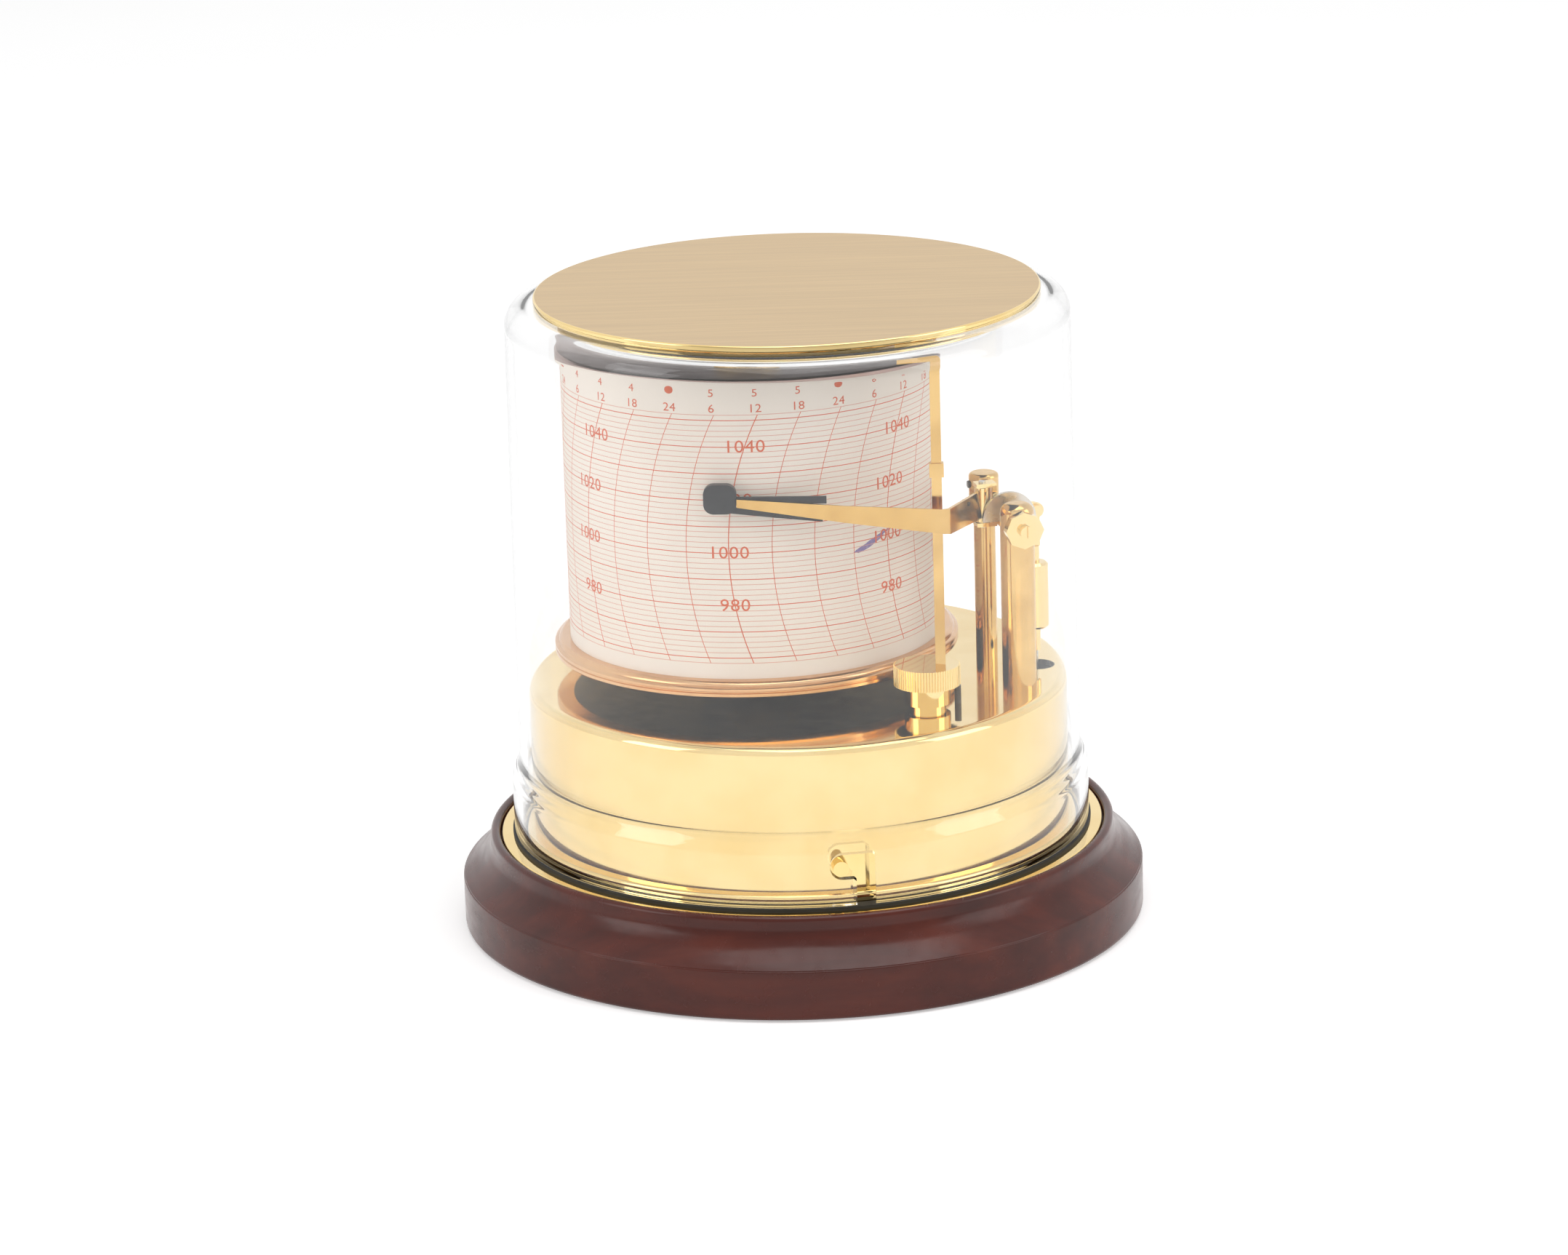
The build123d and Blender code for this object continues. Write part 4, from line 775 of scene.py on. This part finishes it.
FLOOR_RADIUS = 6.0
FLOOR_GLOW = 0.42
FLOOR_FADE = (-0.36, -0.27, 0.1)
ROOM_FADE = (-0.7, 0.0, 0.2)
ROOM_LIGHT = 0.5
LIT_AT = (0.0, 0.0, 0.1)


def camera():
    data = bpy.data.cameras.new("camera")
    data.sensor_width = SENSOR_WIDTH
    data.lens = CAMERA_LENS
    data.clip_start = 0.01
    obj = new_object("camera", data)
    forward = Vector((math.sin(CAMERA_YAW) * math.cos(CAMERA_PITCH),
                      math.cos(CAMERA_YAW) * math.cos(CAMERA_PITCH), -math.sin(CAMERA_PITCH)))
    level = Vector((math.cos(CAMERA_YAW), -math.sin(CAMERA_YAW), 0.0))
    above = level.cross(forward)
    right = math.cos(CAMERA_ROLL) * level + math.sin(CAMERA_ROLL) * above
    up = -math.sin(CAMERA_ROLL) * level + math.cos(CAMERA_ROLL) * above
    turn = Matrix((right, up, -forward)).transposed().to_4x4()
    obj.matrix_world = Matrix.Translation(CAMERA_AT) @ turn
    SCENE.camera = obj


def seen_white(tree, depth, fading):
    """A value that is 1 for rays from the camera or clear glass, and in a mirror fades with the depth."""
    dark, bright, least = fading
    path = tree.nodes.new("ShaderNodeLightPath")
    fade = tree.nodes.new("ShaderNodeMapRange")
    fade.interpolation_type = "SMOOTHSTEP"
    fade.inputs["From Min"].default_value = dark
    fade.inputs["From Max"].default_value = bright
    fade.inputs["To Min"].default_value = least
    tree.links.new(depth, fade.inputs["Value"])
    mirrored = tree.nodes.new("ShaderNodeMath")
    mirrored.operation = "MULTIPLY"
    tree.links.new(path.outputs["Is Glossy Ray"], mirrored.inputs[0])
    tree.links.new(fade.outputs["Result"], mirrored.inputs[1])
    first = tree.nodes.new("ShaderNodeMath")
    first.operation = "MAXIMUM"
    tree.links.new(path.outputs["Is Camera Ray"], first.inputs[0])
    tree.links.new(mirrored.outputs[0], first.inputs[1])
    second = tree.nodes.new("ShaderNodeMath")
    second.operation = "MAXIMUM"
    tree.links.new(first.outputs[0], second.inputs[0])
    tree.links.new(path.outputs["Is Transmission Ray"], second.inputs[1])
    return second.outputs[0]


def depth_of(tree, output):
    """How far back a point of the floor or a direction of the room lies."""
    coords = tree.nodes.new("ShaderNodeTexCoord")
    split = tree.nodes.new("ShaderNodeSeparateXYZ")
    tree.links.new(coords.outputs[output], split.inputs["Vector"])
    return split.outputs["Y"]


def floor():
    bm = bmesh.new()
    bmesh.ops.create_circle(bm, cap_ends=True, segments=64, radius=FLOOR_RADIUS)
    obj = mesh_object("studio_floor", bm)
    made, tree, shader = material("studio_floor", (0.90, 0.90, 0.90), 0.9)
    shade = noise(tree, 3.0, 2.0)
    tree.links.new(ramp(tree, shade, [(0.3, (0.89, 0.89, 0.89)), (0.7, (0.91, 0.91, 0.91))]),
                   shader.inputs["Base Color"])
    shader.inputs["Specular IOR Level"].default_value = 0.0
    shader.inputs["Emission Color"].default_value = (1.0, 1.0, 1.0, 1.0)
    scale = tree.nodes.new("ShaderNodeMath")
    scale.operation = "MULTIPLY"
    scale.inputs[1].default_value = FLOOR_GLOW
    tree.links.new(seen_white(tree, depth_of(tree, "Object"), FLOOR_FADE), scale.inputs[0])
    tree.links.new(scale.outputs[0], shader.inputs["Emission Strength"])
    obj.data.materials.append(made)


def world():
    made = bpy.data.worlds.new("studio")
    made.use_nodes = True
    SCENE.world = made
    tree = made.node_tree
    back = tree.nodes["Background"]
    back.inputs["Color"].default_value = (1.0, 1.0, 1.0, 1.0)
    mix = tree.nodes.new("ShaderNodeMapRange")
    mix.inputs["To Min"].default_value = ROOM_LIGHT
    tree.links.new(seen_white(tree, depth_of(tree, "Generated"), ROOM_FADE), mix.inputs["Value"])
    tree.links.new(mix.outputs["Result"], back.inputs["Strength"])


def lamp(name, place, size, power):
    data = bpy.data.lights.new(name, "AREA")
    data.shape = "RECTANGLE"
    data.size, data.size_y = size
    data.energy = power
    obj = new_object(name, data)
    obj.location = place
    obj.rotation_euler = (Vector(LIT_AT) - Vector(place)).to_track_quat("-Z", "Y").to_euler()


def lights():
    lamp("top_box", (0.2, -0.3, 1.6), (1.4, 1.0), 9.0)
    lamp("left_box", (-1.4, -0.7, 0.7), (0.8, 1.0), 5.0)
    lamp("right_box", (1.4, -0.5, 0.6), (0.8, 1.0), 4.0)


camera()
world()
floor()
lights()
dress_nodes()
wooden_base()
brass_plate()
housing()
cover()
top_disc()
drum_parts()
chart_lines()
chart_numbers()
ink_smear()

SCENE.view_settings.view_transform = "Standard"


def corners(bounds):
    return [[float(value) for value in corner] for corner in bounds]
